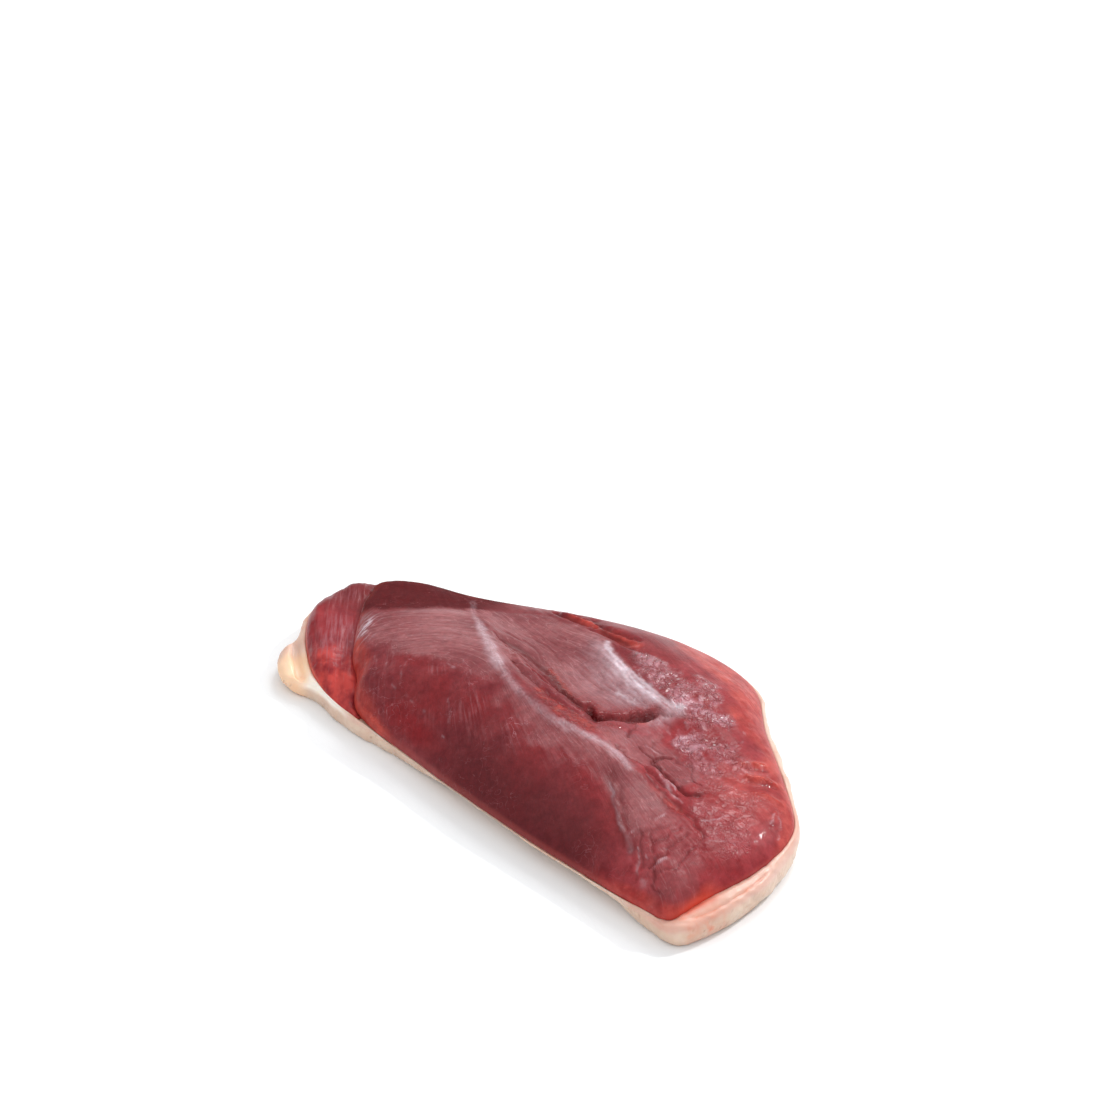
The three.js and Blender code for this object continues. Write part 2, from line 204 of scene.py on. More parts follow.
# %% The drawing
# x, y, edge height, roll-down, skin's stand-out, foot's inset, breast muscle's share, its edge
# height, all in millimetres but for the share. It starts at the middle of the narrow end and goes
# round anticlockwise.
EDGE = np.array([
    (-90.2, -5, 8.5, 6, 1.2, 5, 0.6, 13.2),
    (-88, -14, 8.5, 6, 2.2, 3.5, 0.55, 13.3),
    (-81.5, -22, 8.2, 6, 2.4, 2.5, 0.58, 13.2),
    (-74, -28.5, 7.6, 6, 2.4, 2.4, 0.64, 12.5),
    (-66.5, -33.3, 7, 6, 1.8, 2, 0.71, 11.2),
    (-58, -36.6, 6.4, 6, 1.2, 1.4, 0.77, 9.2),
    (-47.5, -38.4, 5.8, 8, 0.8, 1.2, 0.93, 6.6),
    (-34.5, -39.2, 5.5, 18, 0.5, 1.6, 1, 5.5),
    (-19.5, -41, 5.5, 26, 0, 3.2, 1, 5.5),
    (1.5, -44, 6, 30, -0.1, 8, 1, 6),
    (29.5, -46.4, 6, 30, 0.1, 9.5, 1, 6),
    (55.5, -47.4, 6, 26, 0.3, 8.5, 1, 6),
    (72.5, -47.8, 6, 16, 0.9, 3.4, 1, 6),
    (81.2, -46.6, 6.4, 9, 2.8, 2.2, 1, 6.4),
    (83.6, -38.7, 8, 10, 6.5, 2.6, 1, 8),
    (86.6, -26, 9.3, 13, 5.3, 2.8, 1, 9.3),
    (86.8, -10, 9.5, 13, 2.4, 3, 1, 9.5),
    (81.9, 2.6, 9.5, 14, 1.6, 3.2, 1, 9.5),
    (68.1, 15.3, 9.5, 16, 2.2, 4, 1, 9.5),
    (49.9, 29.8, 9.5, 18, 2.7, 5, 1, 9.5),
    (33.3, 44.5, 9.5, 19, 1.4, 5, 1, 9.5),
    (11.5, 48.4, 9.5, 20, 0.6, 5, 1, 9.5),
    (-12.5, 43.5, 9.5, 20, 0.6, 5, 1, 9.5),
    (-36.5, 34, 9.5, 18, 0.6, 5, 1, 9.5),
    (-58.5, 24.5, 9.5, 15, 0.8, 5, 1, 9.5),
    (-74.5, 19, 9.3, 10, 1, 5, 1, 9.6),
    (-84, 11, 9, 7, 1.1, 5, 0.94, 11),
    (-89.5, 3.5, 8.6, 6, 1.2, 5, 0.71, 12.8),
])
BROAD_END_MIDDLE = 16
CORE_START = np.array((-52.5, -4))
CORE_END = np.array((57.5, -9))
CORE_CROWDING = 0.8
LUMP = {"place": (-72.5, -29.7), "half_width": 9.4, "power": 4, "stand_out": 6.8, "foot_inset": 2.2,
        "cleft_depth": 1.8, "cleft_at": 3.2, "cleft_width": 1.3}
NARROW_END = {"x": -85, "width": 24, "crowding": 0.8}
SPOKES = 800
print("outline", len(EDGE), "points")


# %% Curves through points
def smooth_run(points, first, last, fine=40):
    """The Catmull-Rom curve from point first to point last of a closed list, fine steps a span.

    A span is half of (2 p1 + (p2 - p0) t + (2 p0 - 5 p1 + 4 p2 - p3) t2 + (3 p1 - p0 - 3 p2 + p3) t3)."""
    start = np.arange(first, last)[:, None]
    p0, p1, p2, p3 = (points[(start + step) % len(points)] for step in (-1, 0, 1, 2))
    t = (np.arange(fine) / fine)[None, :, None]
    run = 0.5 * (2 * p1 + (p2 - p0) * t + (2 * p0 - 5 * p1 + 4 * p2 - p3) * t**2
                 + (3 * p1 - p0 - 3 * p2 + p3) * t**3)
    return np.vstack([run.reshape(-1, points.shape[1]), points[last % len(points)]])


def spread_along(run, count):
    """count rows along a run without its last point, a little closer together at the narrow end."""
    step = np.hypot(*np.diff(run[:, :2], axis=0).T)
    near = np.exp(-((run[1:, 0] - NARROW_END["x"]) / NARROW_END["width"]) ** 2)
    length = np.append(0, np.cumsum(step * (1 + NARROW_END["crowding"] * near)))
    wanted = length[-1] * np.arange(count) / count
    return np.stack([np.interp(wanted, length, column) for column in run.T], axis=1)


# %% Spokes from the core to the edge
half = SPOKES // 2
rows = np.vstack([spread_along(smooth_run(EDGE, 0, BROAD_END_MIDDLE), half),
                  spread_along(smooth_run(EDGE, BROAD_END_MIDDLE, len(EDGE)), half)])
rim, roll, over, foot, share, lip = rows[:, 2:].T
share = np.minimum(share, 1)

# Spokes i and SPOKES - i start from the same core point, so the core closes as one seam.
q = np.minimum(np.arange(SPOKES), SPOKES - np.arange(SPOKES)) / half
along_core = q - CORE_CROWDING * np.sin(2 * np.pi * q) / (2 * np.pi)
core = CORE_START + (CORE_END - CORE_START) * along_core[:, None]
reach = np.hypot(*(rows[:, :2] - core).T)
out = (rows[:, :2] - core) / reach[:, None]
lump_distance = np.hypot(*(rows[:, :2] - LUMP["place"]).T)
lump = np.exp(-((lump_distance / LUMP["half_width"]) ** LUMP["power"]))
over = over + LUMP["stand_out"] * lump
foot = foot + LUMP["foot_inset"] * lump
print("spokes", SPOKES, "longest", round(reach.max(), 1), "mm")

# %% [markdown]
# ## Chance that is smooth
# Nothing on meat is straight or even. Points could be shaken one by one, but that looks like
# gravel. Here random hills come from a seeded table of heights on a square lattice, blended
# smoothly between its points. Layers of hills, each half as wide and half as high, give detail at
# every size, and soft steps and ovals say where it shows.

# %% Smooth random hills
LATTICE_SIDE = 256
LATTICE_SEED = 41
LATTICE = np.random.default_rng(LATTICE_SEED).uniform(-1, 1, (LATTICE_SIDE, LATTICE_SIDE))
LAYER_SHIFT = (31.7, 57.3)


def hills(a, b, layer):
    """Value noise from -1 to 1: corner heights blended by 6t5 - 15t4 + 10t3 across each cell."""
    a, b = a + LAYER_SHIFT[0] * layer, b + LAYER_SHIFT[1] * layer
    column, row = np.floor(a).astype(int), np.floor(b).astype(int)
    u, v = (t * t * t * (t * (6 * t - 15) + 10) for t in (a - column, b - row))
    near, far = column % LATTICE_SIDE, (column + 1) % LATTICE_SIDE
    low, high = row % LATTICE_SIDE, (row + 1) % LATTICE_SIDE
    bottom = LATTICE[near, low] * (1 - u) + LATTICE[far, low] * u
    top = LATTICE[near, high] * (1 - u) + LATTICE[far, high] * u
    return bottom * (1 - v) + top * v


def layered(at, size, layer, octaves=2):
    """Hills of a size in mm, or a pair, plus octaves that are each half as wide and as high. The
    layer is only a number that gives other hills."""
    a, b = (part / width for part, width in zip(at, np.broadcast_to(size, 2)))
    return sum(hills(a * 2**k, b * 2**k, layer + 3 * k) / 2**k for k in range(octaves))


print("lattice", LATTICE.shape, "seed", LATTICE_SEED)


# %% Soft steps and ovals
def step_between(value, low, high):
    """0 below low, 1 above high, and 3t2 - 2t3 between."""
    t = np.clip((value - low) / (high - low), 0, 1)
    return t * t * (3 - 2 * t)


def stretch(value, rise_from, rise_to, fall_from, fall_to):
    """0, rising to 1 over the first two values, and falling back to 0 over the last two."""
    return step_between(value, rise_from, rise_to) * (1 - step_between(value, fall_from, fall_to))


def turned(at, heading):
    """Distances along and across a heading: x cos + y sin, and y cos - x sin."""
    x, y = at
    return x * np.cos(heading) + y * np.sin(heading), y * np.cos(heading) - x * np.sin(heading)


def patch(at, middle, size, heading=0.0, softness=2.0):
    """1 inside an oval and 0 outside: exp of minus the oval distance to the power 2 * softness."""
    along, across = turned((at[0] - middle[0], at[1] - middle[1]), np.radians(heading))
    return np.exp(-((along / size[0]) ** 2 + (across / size[1]) ** 2) ** softness)


def tell(**masks):
    """Prints how much of the surface each mask covers."""
    print(*[f"{name} {values.mean():.3f}" for name, values in masks.items()])


# %% [markdown]
# ## The height of the meat
# A muscle is a bundle of bellies, so its top is the smooth maximum of three low rounded bells. It
# could be sculpted, but a formula can be read and changed. Ridges and furrows are strokes: a
# smooth line, and a bell-shaped rise or dip across it. The tendon is a ridge, and the places where
# the muscle's parts meet are furrows, creases and one deep slit.

# %% Strokes
def distance_to_line(at, line):
    """Shortest plan distance to the Catmull-Rom curve through an open line, its ends doubled."""
    line = np.asarray(line, float)
    run = smooth_run(np.vstack([line[:1], line, line[-1:]]), 1, len(line), fine=8)
    x, y = at
    nearest = np.full(np.shape(x), np.inf)
    for (ax, ay), (bx, by) in zip(run[:-1], run[1:]):
        dx, dy = bx - ax, by - ay
        t = np.clip(((x - ax) * dx + (y - ay) * dy) / (dx * dx + dy * dy), 0, 1)
        nearest = np.minimum(nearest, np.hypot(x - ax - t * dx, y - ay - t * dy))
    return nearest


def stroke(at, line, width):
    """The bell across a line: exp of minus the squared distance in half widths."""
    return np.exp(-(distance_to_line(at, line) / width) ** 2)


# %% Bellies and main strokes
BELLY_BASE = 11
BELLY_BLEND = 1.5
# Middle, length and width, heading, and height.
BELLIES = [((-4.5, -17), (78, 30), -9, 15), ((17.5, 21), (60, 26), -14, 11), ((63.5, -15), (30, 34), 0, 7.5)]
# Each stroke is its line, its half width, and how far it rises or sinks, all in millimetres.
MAIN_STROKES = [
    # Tendon ridge.
    ([(-39.9, 9.8), (-25.9, -1.2), (-13.9, -9.7), (-0.9, -15.2), (13.1, -17.7), (43.1, -19.2)], 3.5, 1.2),
    # Long furrow.
    ([(-25.4, 4), (-16.4, 3), (-3.4, -1), (7.6, -6), (20.6, -9)], 2.6, -0.8),
    # Deep slit.
    ([(15.1, -4.8), (19.3, -7.1), (21.8, -2.6), (24.8, 2.4), (27, 4.6)], 1.5, -1.7),
    # Hooked crease.
    ([(42.3, -6.9), (42.8, -10.3), (48, -11.5), (54.5, -13.4), (59, -14.3), (61, -10.9)], 1.3, -0.5),
    # Side crease.
    ([(46, -16), (52.5, -18.5), (62.5, -20.5)], 1.4, -0.5),
    # Front fold.
    ([(40.5, -24), (49, -31.5), (61, -39)], 2.6, -0.5),
    # Wing side crease.
    ([(-17.9, 34), (-8.9, 28.5), (1.1, 27)], 2.2, -1.2),
]


def meat_height(at):
    """Smooth maximum of the bellies: blend * log of the mean of exp(bell / blend), plus strokes."""
    total = sum(np.exp(height * patch(at, *oval, 1.0) / BELLY_BLEND) for *oval, height in BELLIES)
    z = BELLY_BASE + BELLY_BLEND * np.log(total / len(BELLIES))
    return z + sum(rise * stroke(at, line, width) for line, width, rise in MAIN_STROKES)


print("top of the meat over the middle", round(float(meat_height((0.0, 0.0))), 1), "mm")

# %% [markdown]
# ## Sections along a spoke
# Every piece is a closed loop of heights along each spoke. Pieces made one by one would cut into
# each other, so these functions give the heights that two pieces share, and the muscles lie
# exactly on the fat and on each other.

# %% Points along the spokes
EDGE_CURL = 0.6
CURL_STEPS = 5

turns = np.linspace(0, np.pi / 2, CURL_STEPS + 1)[1:, None]


def on_spoke(distance, z):
    """Points at a distance from the core along every spoke, at height z."""
    xy = core + out * np.asarray(distance)[..., None]
    return np.concatenate([xy, np.broadcast_to(z, xy.shape[:-1])[..., None]], axis=-1)


def curl(distance, z, turn):
    """A rounded lower edge: a quarter circle of EDGE_CURL from the widest point in and down."""
    return on_spoke(distance - EDGE_CURL * (1 - np.cos(turn)), z - EDGE_CURL * np.sin(turn))


def crowded(count, power=1.0):
    """A column of shares from 0 to 1, the sine of a quarter turn of t ** power.

    They crowd towards 1, and a power above 1 also draws them together round 0."""
    return np.sin(np.linspace(0, 1, count + 1) ** power * np.pi / 2)[:, None]


print("edge curl", EDGE_CURL, "mm in", CURL_STEPS, "steps")

# %% Shared heights
FAT_THICKNESS = 4.5
GAP = 0.03
DISH_FLAT_SHARE = 0.3
DISH_POWER = 2.5
ROLL_POWER = 2.2
LAP_WIDTH = 9

end = reach * share


def roll_up(t):
    """Rise of a rolled edge, from 0 at the edge to 1: the root of 1 - (1 - t) ** ROLL_POWER."""
    return np.sqrt(1 - (1 - np.clip(t, 0, 1)) ** ROLL_POWER)


def seat_height(distance):
    """Top of the fat under the meat: flat, then up to the edge as a power of the distance."""
    edge = rim - EDGE_CURL - GAP
    t = np.clip((distance / reach - DISH_FLAT_SHARE) / (1 - DISH_FLAT_SHARE), 0, 1)
    return FAT_THICKNESS + (edge - FAT_THICKNESS) * t**DISH_POWER


def underside(distance):
    """Underside of the breast muscle: on the fat, then up over the end muscle within the lap."""
    climb = np.maximum(0, lip - EDGE_CURL - seat_height(end) - GAP)
    return seat_height(distance) + GAP + climb * step_between(distance, end - LAP_WIDTH, end)


print("seat of the meat from", FAT_THICKNESS, "up to", round(seat_height(reach).max(), 1), "mm")

# %% [markdown]
# ## From rings to a mesh
# A piece is a stack of rings, each with one point a spoke, and neighbouring rings are joined with
# four-sided faces. Filling a ring with one flat face would be simpler, but it shades badly, so the
# first and last ring lie on the core line. Two spokes share each point there, those points are
# made once, and the body closes without a gap.

# %% Normals and faces
def normals_of(rings):
    """Unit normals of a grid of rings: the cross product of its two directions of travel."""
    down = np.gradient(rings, axis=0)
    around = np.roll(rings, -1, axis=1) - np.roll(rings, 1, axis=1)
    normal = np.cross(down, around)
    return normal / np.maximum(np.linalg.norm(normal, axis=-1, keepdims=True), 1e-9)


def grid_faces(number):
    """Four-sided faces between neighbouring rows of a grid of point numbers, closed round."""
    after = np.roll(number, -1, axis=1)
    return np.stack([number[:-1], number[1:], after[1:], after[:-1]], axis=-1).reshape(-1, 4)


# %% Pieces of the part
BOX_MARGIN = 0.01


def to_object(name, points, faces, looks):
    """A mesh object from points in mm held inside the solids' box, with looks on its points."""
    low, high = (np.array(corner) / MM for corner in CAD_BOX)
    held = np.clip(points, low + BOX_MARGIN * np.array((1, 1, 0)), high - BOX_MARGIN)
    mesh = bpy.data.meshes.new(name)
    mesh.from_pydata(held * MM, [], faces)
    for key, values in looks.items():
        kind, field = ("FLOAT", "value") if values.ndim == 1 else ("FLOAT_VECTOR", "vector")
        layer = mesh.attributes.new(key, kind, "POINT")
        layer.data.foreach_set(field, values.astype(np.float32).ravel())
    mesh.polygons.foreach_set("use_smooth", np.ones(len(faces), bool))
    mesh.update()
    piece = bpy.data.objects.new(name, mesh)
    scene.collection.objects.link(piece)
    print(name, len(points), "points", len(faces), "faces", points.min(0).round(2), points.max(0).round(2))
    return piece


def body_from_rings(name, rings, looks):
    """A closed body whose first and last ring lie on the core, where points i and -i are one."""
    count, spokes = rings.shape[:2]
    number = np.arange(count * spokes).reshape(count, spokes)
    paired = np.minimum(np.arange(spokes), spokes - np.arange(spokes)) % spokes
    number[0] = number[0, paired]
    number[-1] = number[-1, paired]
    used, faces = np.unique(grid_faces(number), return_inverse=True)
    kept = {key: values.reshape(count * spokes, *values.shape[2:])[used] for key, values in looks.items()}
    return to_object(name, rings.reshape(-1, 3)[used], faces.reshape(-1, 4), kept)


def place_in_frame(piece, node):
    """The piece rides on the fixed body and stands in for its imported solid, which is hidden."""
    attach(piece, "root")
    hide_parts(node)


# %% [markdown]
# ## Places on the breast muscle
# The muscle's rings go out along its top, round its curled edge, and back under it, first over the
# end muscle and then on the fat. A grid dropped over an outline would have jagged edges, and rings
# follow the edge. All rings are worked out at once, because a distance may be a whole column.

# %% Rings of the breast muscle
MUSCLE_TOP_RINGS = 106
CORE_DENSITY = 1.4
LAP_RINGS = 5
SEAT_RINGS = 4

g = crowded(MUSCLE_TOP_RINGS, CORE_DENSITY)
top = on_spoke(end * g, 0.0)
height = meat_height((top[..., 0], top[..., 1]))
top[..., 2] = lip + (height - lip) * roll_up(end * (1 - g) / roll)
lap = end - EDGE_CURL - (LAP_WIDTH - EDGE_CURL) * np.linspace(0, 1, LAP_RINGS + 1)[1:, None]
seated = (end - LAP_WIDTH) * np.linspace(1, 0, SEAT_RINGS + 1)[1:, None]
below = np.vstack([lap, seated])
rings = np.vstack([top, curl(end, lip, turns), on_spoke(below, underside(below))])
inside = np.zeros(rings.shape[:2])
inside[:len(top)] = end * (1 - g)
x, y = at = (rings[..., 0], rings[..., 1])
print("rings", len(rings), "top from", round(top[..., 2].min(), 1), "to", round(top[..., 2].max(), 1), "mm")

# %% [markdown]
# ## Where the breast muscle changes its look
# Most of the muscle is covered by a thin silvery skin, which veils the red. The front slope is bare
# and wine dark, the wing side and the broad end are bare and bright, and the outermost rim, thin
# and freshly cut, is nearly orange. Where the skin was torn off, the surface is broken, wet and
# lumpy. A painted picture could carry all this. Here each look is a mask from 0 to 1 on the mesh's
# points, bounded by curves with ragged edges, so it follows the relief exactly.

# %% Bands, ovals and strokes
CRINKLE = 0.45
CRINKLE_SIZE = 2.2


def curve(x, rows, column=1):
    """Height over x of a line given as rows of x and y, straight between the rows."""
    rows = np.array(rows)
    return np.interp(x, rows[:, 0], rows[:, column])


def band(at, rows, soft=1.0, feather=0.0):
    """1 between two lines over x and 0 outside. The feather, in mm, pushes the edges about."""
    x, y = at
    low = step_between(y - curve(x, rows, 1) + feather, -soft, soft)
    high = step_between(curve(x, rows, 2) - y + 0.7 * feather, -soft, soft)
    first, last = rows[0][0], rows[-1][0]
    return low * high * stretch(x, first - 1, first + 2, last - 2, last + 1)


def strongest(*masks):
    """The strongest of several masks at every point."""
    return np.maximum.reduce(masks)


def patches(at, rows, softness=2.0):
    """The strongest of several ovals, given as middle, size, heading and strength."""
    return strongest(*[strength * patch(at, *oval, softness) for *oval, strength in rows])


def strokes(at, rows):
    """The strongest of several strokes, given as line, half width and strength."""
    return strongest(*[strength * stroke(at, line, width) for line, width, strength in rows])


def crinkled(at):
    """Places pushed about by small hills, which makes a smooth line drawn there look torn."""
    return [part + CRINKLE * layered(at, CRINKLE_SIZE, layer) for part, layer in zip(at, (51, 52))]


crinkle = crinkled(at)
print("crinkles of up to", round(np.abs(crinkle[0] - x).max(), 2), "mm")

# %% [markdown]
# ## The fibres
# Fibres give meat its grain, and every streak and thread has to run along them. On the front slope
# they fan out from beyond the wing side of the narrow end, so the distance and the angle to a
# point out there are the places along and across them. On the lobe behind the tendon, and on the
# crest, they are straight. Strands drawn one by one would look stiffer and take far longer.

# %% Along and across the fibres
FIBRE_FOCUS = (-121.5, 70)
FIBRE_RADIUS = 130
TENDON_BEND = 7
TENDON_REACH = 6
LOBE_HEADING = np.radians(-15)
CREST_HEADING = np.radians(27)
CREST_MIDDLE = -38
CREST_ARCH = 0.012
CREST_BLEND = 4
TENDON = [(-53, 18.9), (-43.2, 9.4), (-38.4, 6.3), (-29.3, -0.7), (-20.9, -6.3), (-13.3, -11.2),
          (-9, -13.9), (0.1, -17.5), (5.8, -18.6), (11.4, -19.8), (16.8, -19.8), (23.5, -18.8),
          (28.6, -17.4), (34, -17.1), (38.6, -17.8), (42.7, -19.3)]
CREST_FILM = [(-69, -15, -11), (-64, -17, -8.5), (-56, -21.5, 0), (-49, -19, 9.7), (-44, -21, 13),
              (-36, -21, 7), (-28, -20, 1), (-20, -19, -4), (-14, -18.5, -8), (-6, -19, -13)]


def slope_fibres(at):
    """Distance along and across the slope's fibres in mm: the radius, and the angle times a middle
    radius. Next to the tendon a fading term bends the fibres round until they run along it."""
    dx, dy = at[0] - FIBRE_FOCUS[0], at[1] - FIBRE_FOCUS[1]
    below = np.maximum(0, curve(at[0], TENDON) - at[1])
    return np.hypot(dx, dy), np.arctan2(dy, dx) * FIBRE_RADIUS + TENDON_BEND * np.exp(-below / TENDON_REACH)


def lobe_fibres(at):
    """Distance along and across straight fibres, gently bent by hills: at the lobe's heading behind
    the tendon, and in low arches at the crest's heading before it."""
    heading = np.where(at[1] > curve(at[0], TENDON), LOBE_HEADING, CREST_HEADING)
    along, across = turned(at, heading)
    arch = CREST_ARCH * (at[0] - CREST_MIDDLE) ** 2 * (heading == CREST_HEADING)
    return along, across + 2.5 * layered(at, 25, 7, 1) + arch


behind_tendon = step_between(y - curve(x, TENDON), -0.5, 1.5) * (1 - step_between(x, 42, 60))
on_lobe = strongest(behind_tendon, band(at, CREST_FILM, CREST_BLEND))
slope_grain, lobe_grain = slope_fibres(at), lobe_fibres(at)
grain = [a + (b - a) * on_lobe for a, b in zip(slope_grain, lobe_grain)]
# How far the borders of the silvery skin waver, in mm: in teeth along the fibres, and in waves.
feather = 0.7 * layered(grain, (18, 1.2), 31) + 1.8 * layered(at, 7, 32, 3)
tell(on_lobe=on_lobe)

# %% Torn places and bare cuts
# Where the silvery skin is torn: middle, size, heading, and how pale the scraps are.
TORN_PATCHES = [((44, 4), (7, 4.5), -10, 0.9), ((49, 8), (6, 4), 0, 0.5), ((36, 18), (8, 5), -15, 1),
                ((44, 17), (4.5, 3.5), 0, 0.8), ((26, 19.5), (10, 4.5), -15, 0.9),
                ((13, 24), (9, 3), -10, 0.6), ((33, 25), (8, 3), -25, 0.5), ((55, 7), (8, 5), 10, 0.3),
                ((62, 4), (8, 5), 30, 0.12), ((70, -8), (9, 8), 20, 0.12), ((77, -19), (7, 9), 0, 0.08),
                ((62, -6), (9, 6), 0, 0.15), ((67, -16), (8, 5), -20, 0.18), ((53, -1), (8, 4), 0, 0.35),
                ((20, 18.5), (8, 4.5), -15, 0.8), ((29.5, 17), (8, 5), -12, 0.9),
                ((12, 22.5), (7, 3), -20, 0.65), ((38.5, 15.5), (6, 4), -15, 0.85),
                ((42, 10.5), (8, 3.5), -10, 0.3)]
# The bare red strip in the furrow: x, low y and high y.
RED_STRIP = [(2, -14, -10.6), (8, -16.4, -11.6), (14, -18, -12), (19, -18, -10.8), (23, -16.6, -11.6),
             (26.5, -14.4, -13.4)]
# The bare walls of the slit and the furrow.
CUT_WALLS = [([(14.3, -3.6), (18.5, -5.9), (21, -1.4), (24, 3.6), (28, 7.6)], 3.4, 1),
             ([(-6, 1.2), (-1, -1.2), (7.6, -5), (16, -6)], 1.5, 1),
             ([(20, -9.5), (24, -8.6), (26.5, -5.5)], 1.5, 0.8)]

ragged = layered(at, 4, 11, 3)
torn_anywhere = patches(at, [(*oval, 1) for *oval, _ in TORN_PATCHES], 1.5)
paleness = patches(at, TORN_PATCHES, 1.5)
red_strip = band(crinkle, RED_STRIP, 0.5)
open_red = strongest(strokes(crinkle, CUT_WALLS), red_strip)
wetness = 0.45 + 0.55 * step_between(paleness, 0.1, 0.5)
broken = strongest(step_between(torn_anywhere + 0.4 * ragged, 0.25, 0.9) * wetness,
                   0.55 * open_red - 0.2 * red_strip)
torn = paleness * step_between(torn_anywhere + 0.5 * ragged, 0.3, 0.8)
tell(broken=broken, torn=torn)

# %% The silvery skin
LOBE_FILM = [(-50, 12, 13), (-44, 9, 17), (-38, 7.5, 23), (-28, 1, 27), (-18, -1.5, 26.5), (-6, -3, 24.5),
             (4, -5.5, 20), (12, -5, 17.2), (20, -4, 14.8), (27, 2, 12.8), (33, 7, 12.5), (38, 11, 12)]
FURROW_FILM = [(-34, 4, 8), (-28, -0.5, 1), (-22, -5, 1), (-12, -10.5, -3), (-4, -13, -6), (3, -14, -10)]
SHOULDER_FILM = [(-5, -22, -17), (5, -24.5, -17.5), (15, -26, -18), (25, -26, -16), (35, -26, -15),
                 (44, -28, -17)]
SLIT_FILM = [(23, -15, -9), (30, -14.5, -4), (36, -15, 0), (43, -13, 0), (50, -12, -2), (57, -13, -6)]
NEAR_FILM = [(38, -26, -17), (44, -29, -17.5), (50, -31.5, -19), (56, -34.5, -21), (62, -38.5, -22.5),
             (68, -42, -25), (74, -45, -28), (80, -46, -34), (85, -44, -41)]
# Where thin pale wisps lie on the bare front slope: middle, size, heading, strength.
WISPS = [((-42, -24), (13, 10), -25, 0.8), ((-38, -29), (11, 6), -25, 1), ((-26, -27), (12, 7), -25, 1),
         ((-10, -28), (13, 7), -20, 0.9), ((6, -27), (12, 6), -8, 0.8), ((24, -26.5), (14, 5), -4, 0.7),
         ((40, -25), (8, 5), -30, 0.4), ((64, -36), (9, 6), -40, 0.8)]

film = strongest(
    band(at, CREST_FILM, 2.2, feather),
    band(at, LOBE_FILM, 0.9, 0.6 * feather),
    0.6 * band(at, FURROW_FILM, 1.2, 0.6 * feather),
    0.85 * band(at, SHOULDER_FILM, 3.0, 1.8 * feather),
    0.85 * band(at, SLIT_FILM, 1.5, feather),
    band(at, NEAR_FILM, 1.5, feather) * (0.9 - 0.5 * step_between(x, 56, 66)),
    patches(at, [((77.5, -42), (3.2, 6), -20, 0.6), ((76.5, -35), (3.4, 5), -15, 0.55)]),
)
film = np.clip(film * (1 - 0.9 * open_red), 0, 1) * (1 - 0.6 * broken)
wisp = patches(at, WISPS, 1.5) * step_between(layered(at, 9, 37), -0.7, 0.5)
tell(film=film, wisp=wisp)

# %% [markdown]
# ## Tendon, threads and painted sheen
# The white lines on meat are tendon and torn threads of the silvery skin. Hairs of their own could
# lie on the surface, but these are part of it, so they are strokes in one pale mask. The same mask
# also carries painted sheen and painted glints, where the wet top would mirror the lamp behind.
# Lines thinner than the mesh's points, which are 0.5 mm apart, are drawn about that wide so that
# they show.

# %% Tendon and threads
TENDON_WIDTH = [(-53, 0.5), (-39, 1.0), (-22, 1.6), (-14, 2.0), (-8, 1.2), (18, 1.2), (28, 1.7), (42, 1.1)]
TENDON_STRENGTH = [(-53, 0.15), (-44, 0.3), (-36, 0.75), (-13, 0.95), (-8, 0.45), (16, 0.4), (24, 0.6),
                   (38, 0.8), (42, 0.5)]
THREAD_WIDTH = 0.24
THREADS = [[(-42.6, -31.7), (-43.8, -28.5), (-41.9, -30.1), (-42.9, -26)],
           [(-32.8, -30.8), (-35.8, -26.8), (-36.9, -23.5)],
           [(-29.2, -32.4), (-24.8, -33.1), (-20.6, -33.1)],
           [(-33.3, -32.4), (-35.6, -31.4), (-38.2, -29.1)], [(-25.5, -19.6), (-21.5, -20)],
           [(-48.8, -25.6), (-45.3, -27.9), (-43.2, -30.1)], [(-24.8, -40), (-23.6, -40.3)],
           [(-10.8, -36.4), (-10, -36.9)], [(-16, -28), (-13, -31), (-11, -34)],
           [(45.6, -12.9), (50.1, -14.1), (55, -15.3)], [(46, -15.9), (50, -17.2), (54.2, -18.4)],
           [(61.9, 5.6), (64.1, 6.8), (65.3, 8.9)], [(58.1, 6.9), (60.8, 8.4)],
           [(50.7, 19), (52.8, 17.1), (52.9, 13.3)], [(80.4, -6), (78.2, -0.6)],
           [(78.2, -0.6), (82.4, -3.6), (84.5, -8)], [(64.5, -41.1), (67.4, -44)],
           [(65.9, -39.1), (68, -41.4)], [(62, -38), (64, -40.4)],
           [(56.8, -35.1), (58.7, -31.8), (59.4, -28.6), (60.6, -24.2)], [(9.2, 24.2), (12.7, 26.4)],
           [(30.6, 29.1), (33.9, 28.4)], [(36, -5), (40, -5.6), (43, -5.2)],
           [(30, 5.5), (33, 7.5), (36, 8)], [(26, 3), (30, 4), (33, 4.2)],
           [(74, -26), (77, -22), (80, -20)], [(68, -20), (71, -17), (72, -13)]]
# Single pale lines: the line, its half width and its strength.
PALE_LINES = [
    ([(42, -26), (45.1, -28.5), (48.9, -31.5), (53.6, -34.4), (57.7, -36.6), (61, -39.6)], 0.5, 0.5),
    ([(70.3, -40.2), (70.6, -38.4), (70.8, -36.8)], 0.4, 0.5),
    ([(69.5, -44), (70.4, -45.2)], 0.6, 0.2),
    ([(45.5, -11.4), (50, -14.2), (54.8, -16.7), (60, -18.2)], 0.4, 0.4),
]

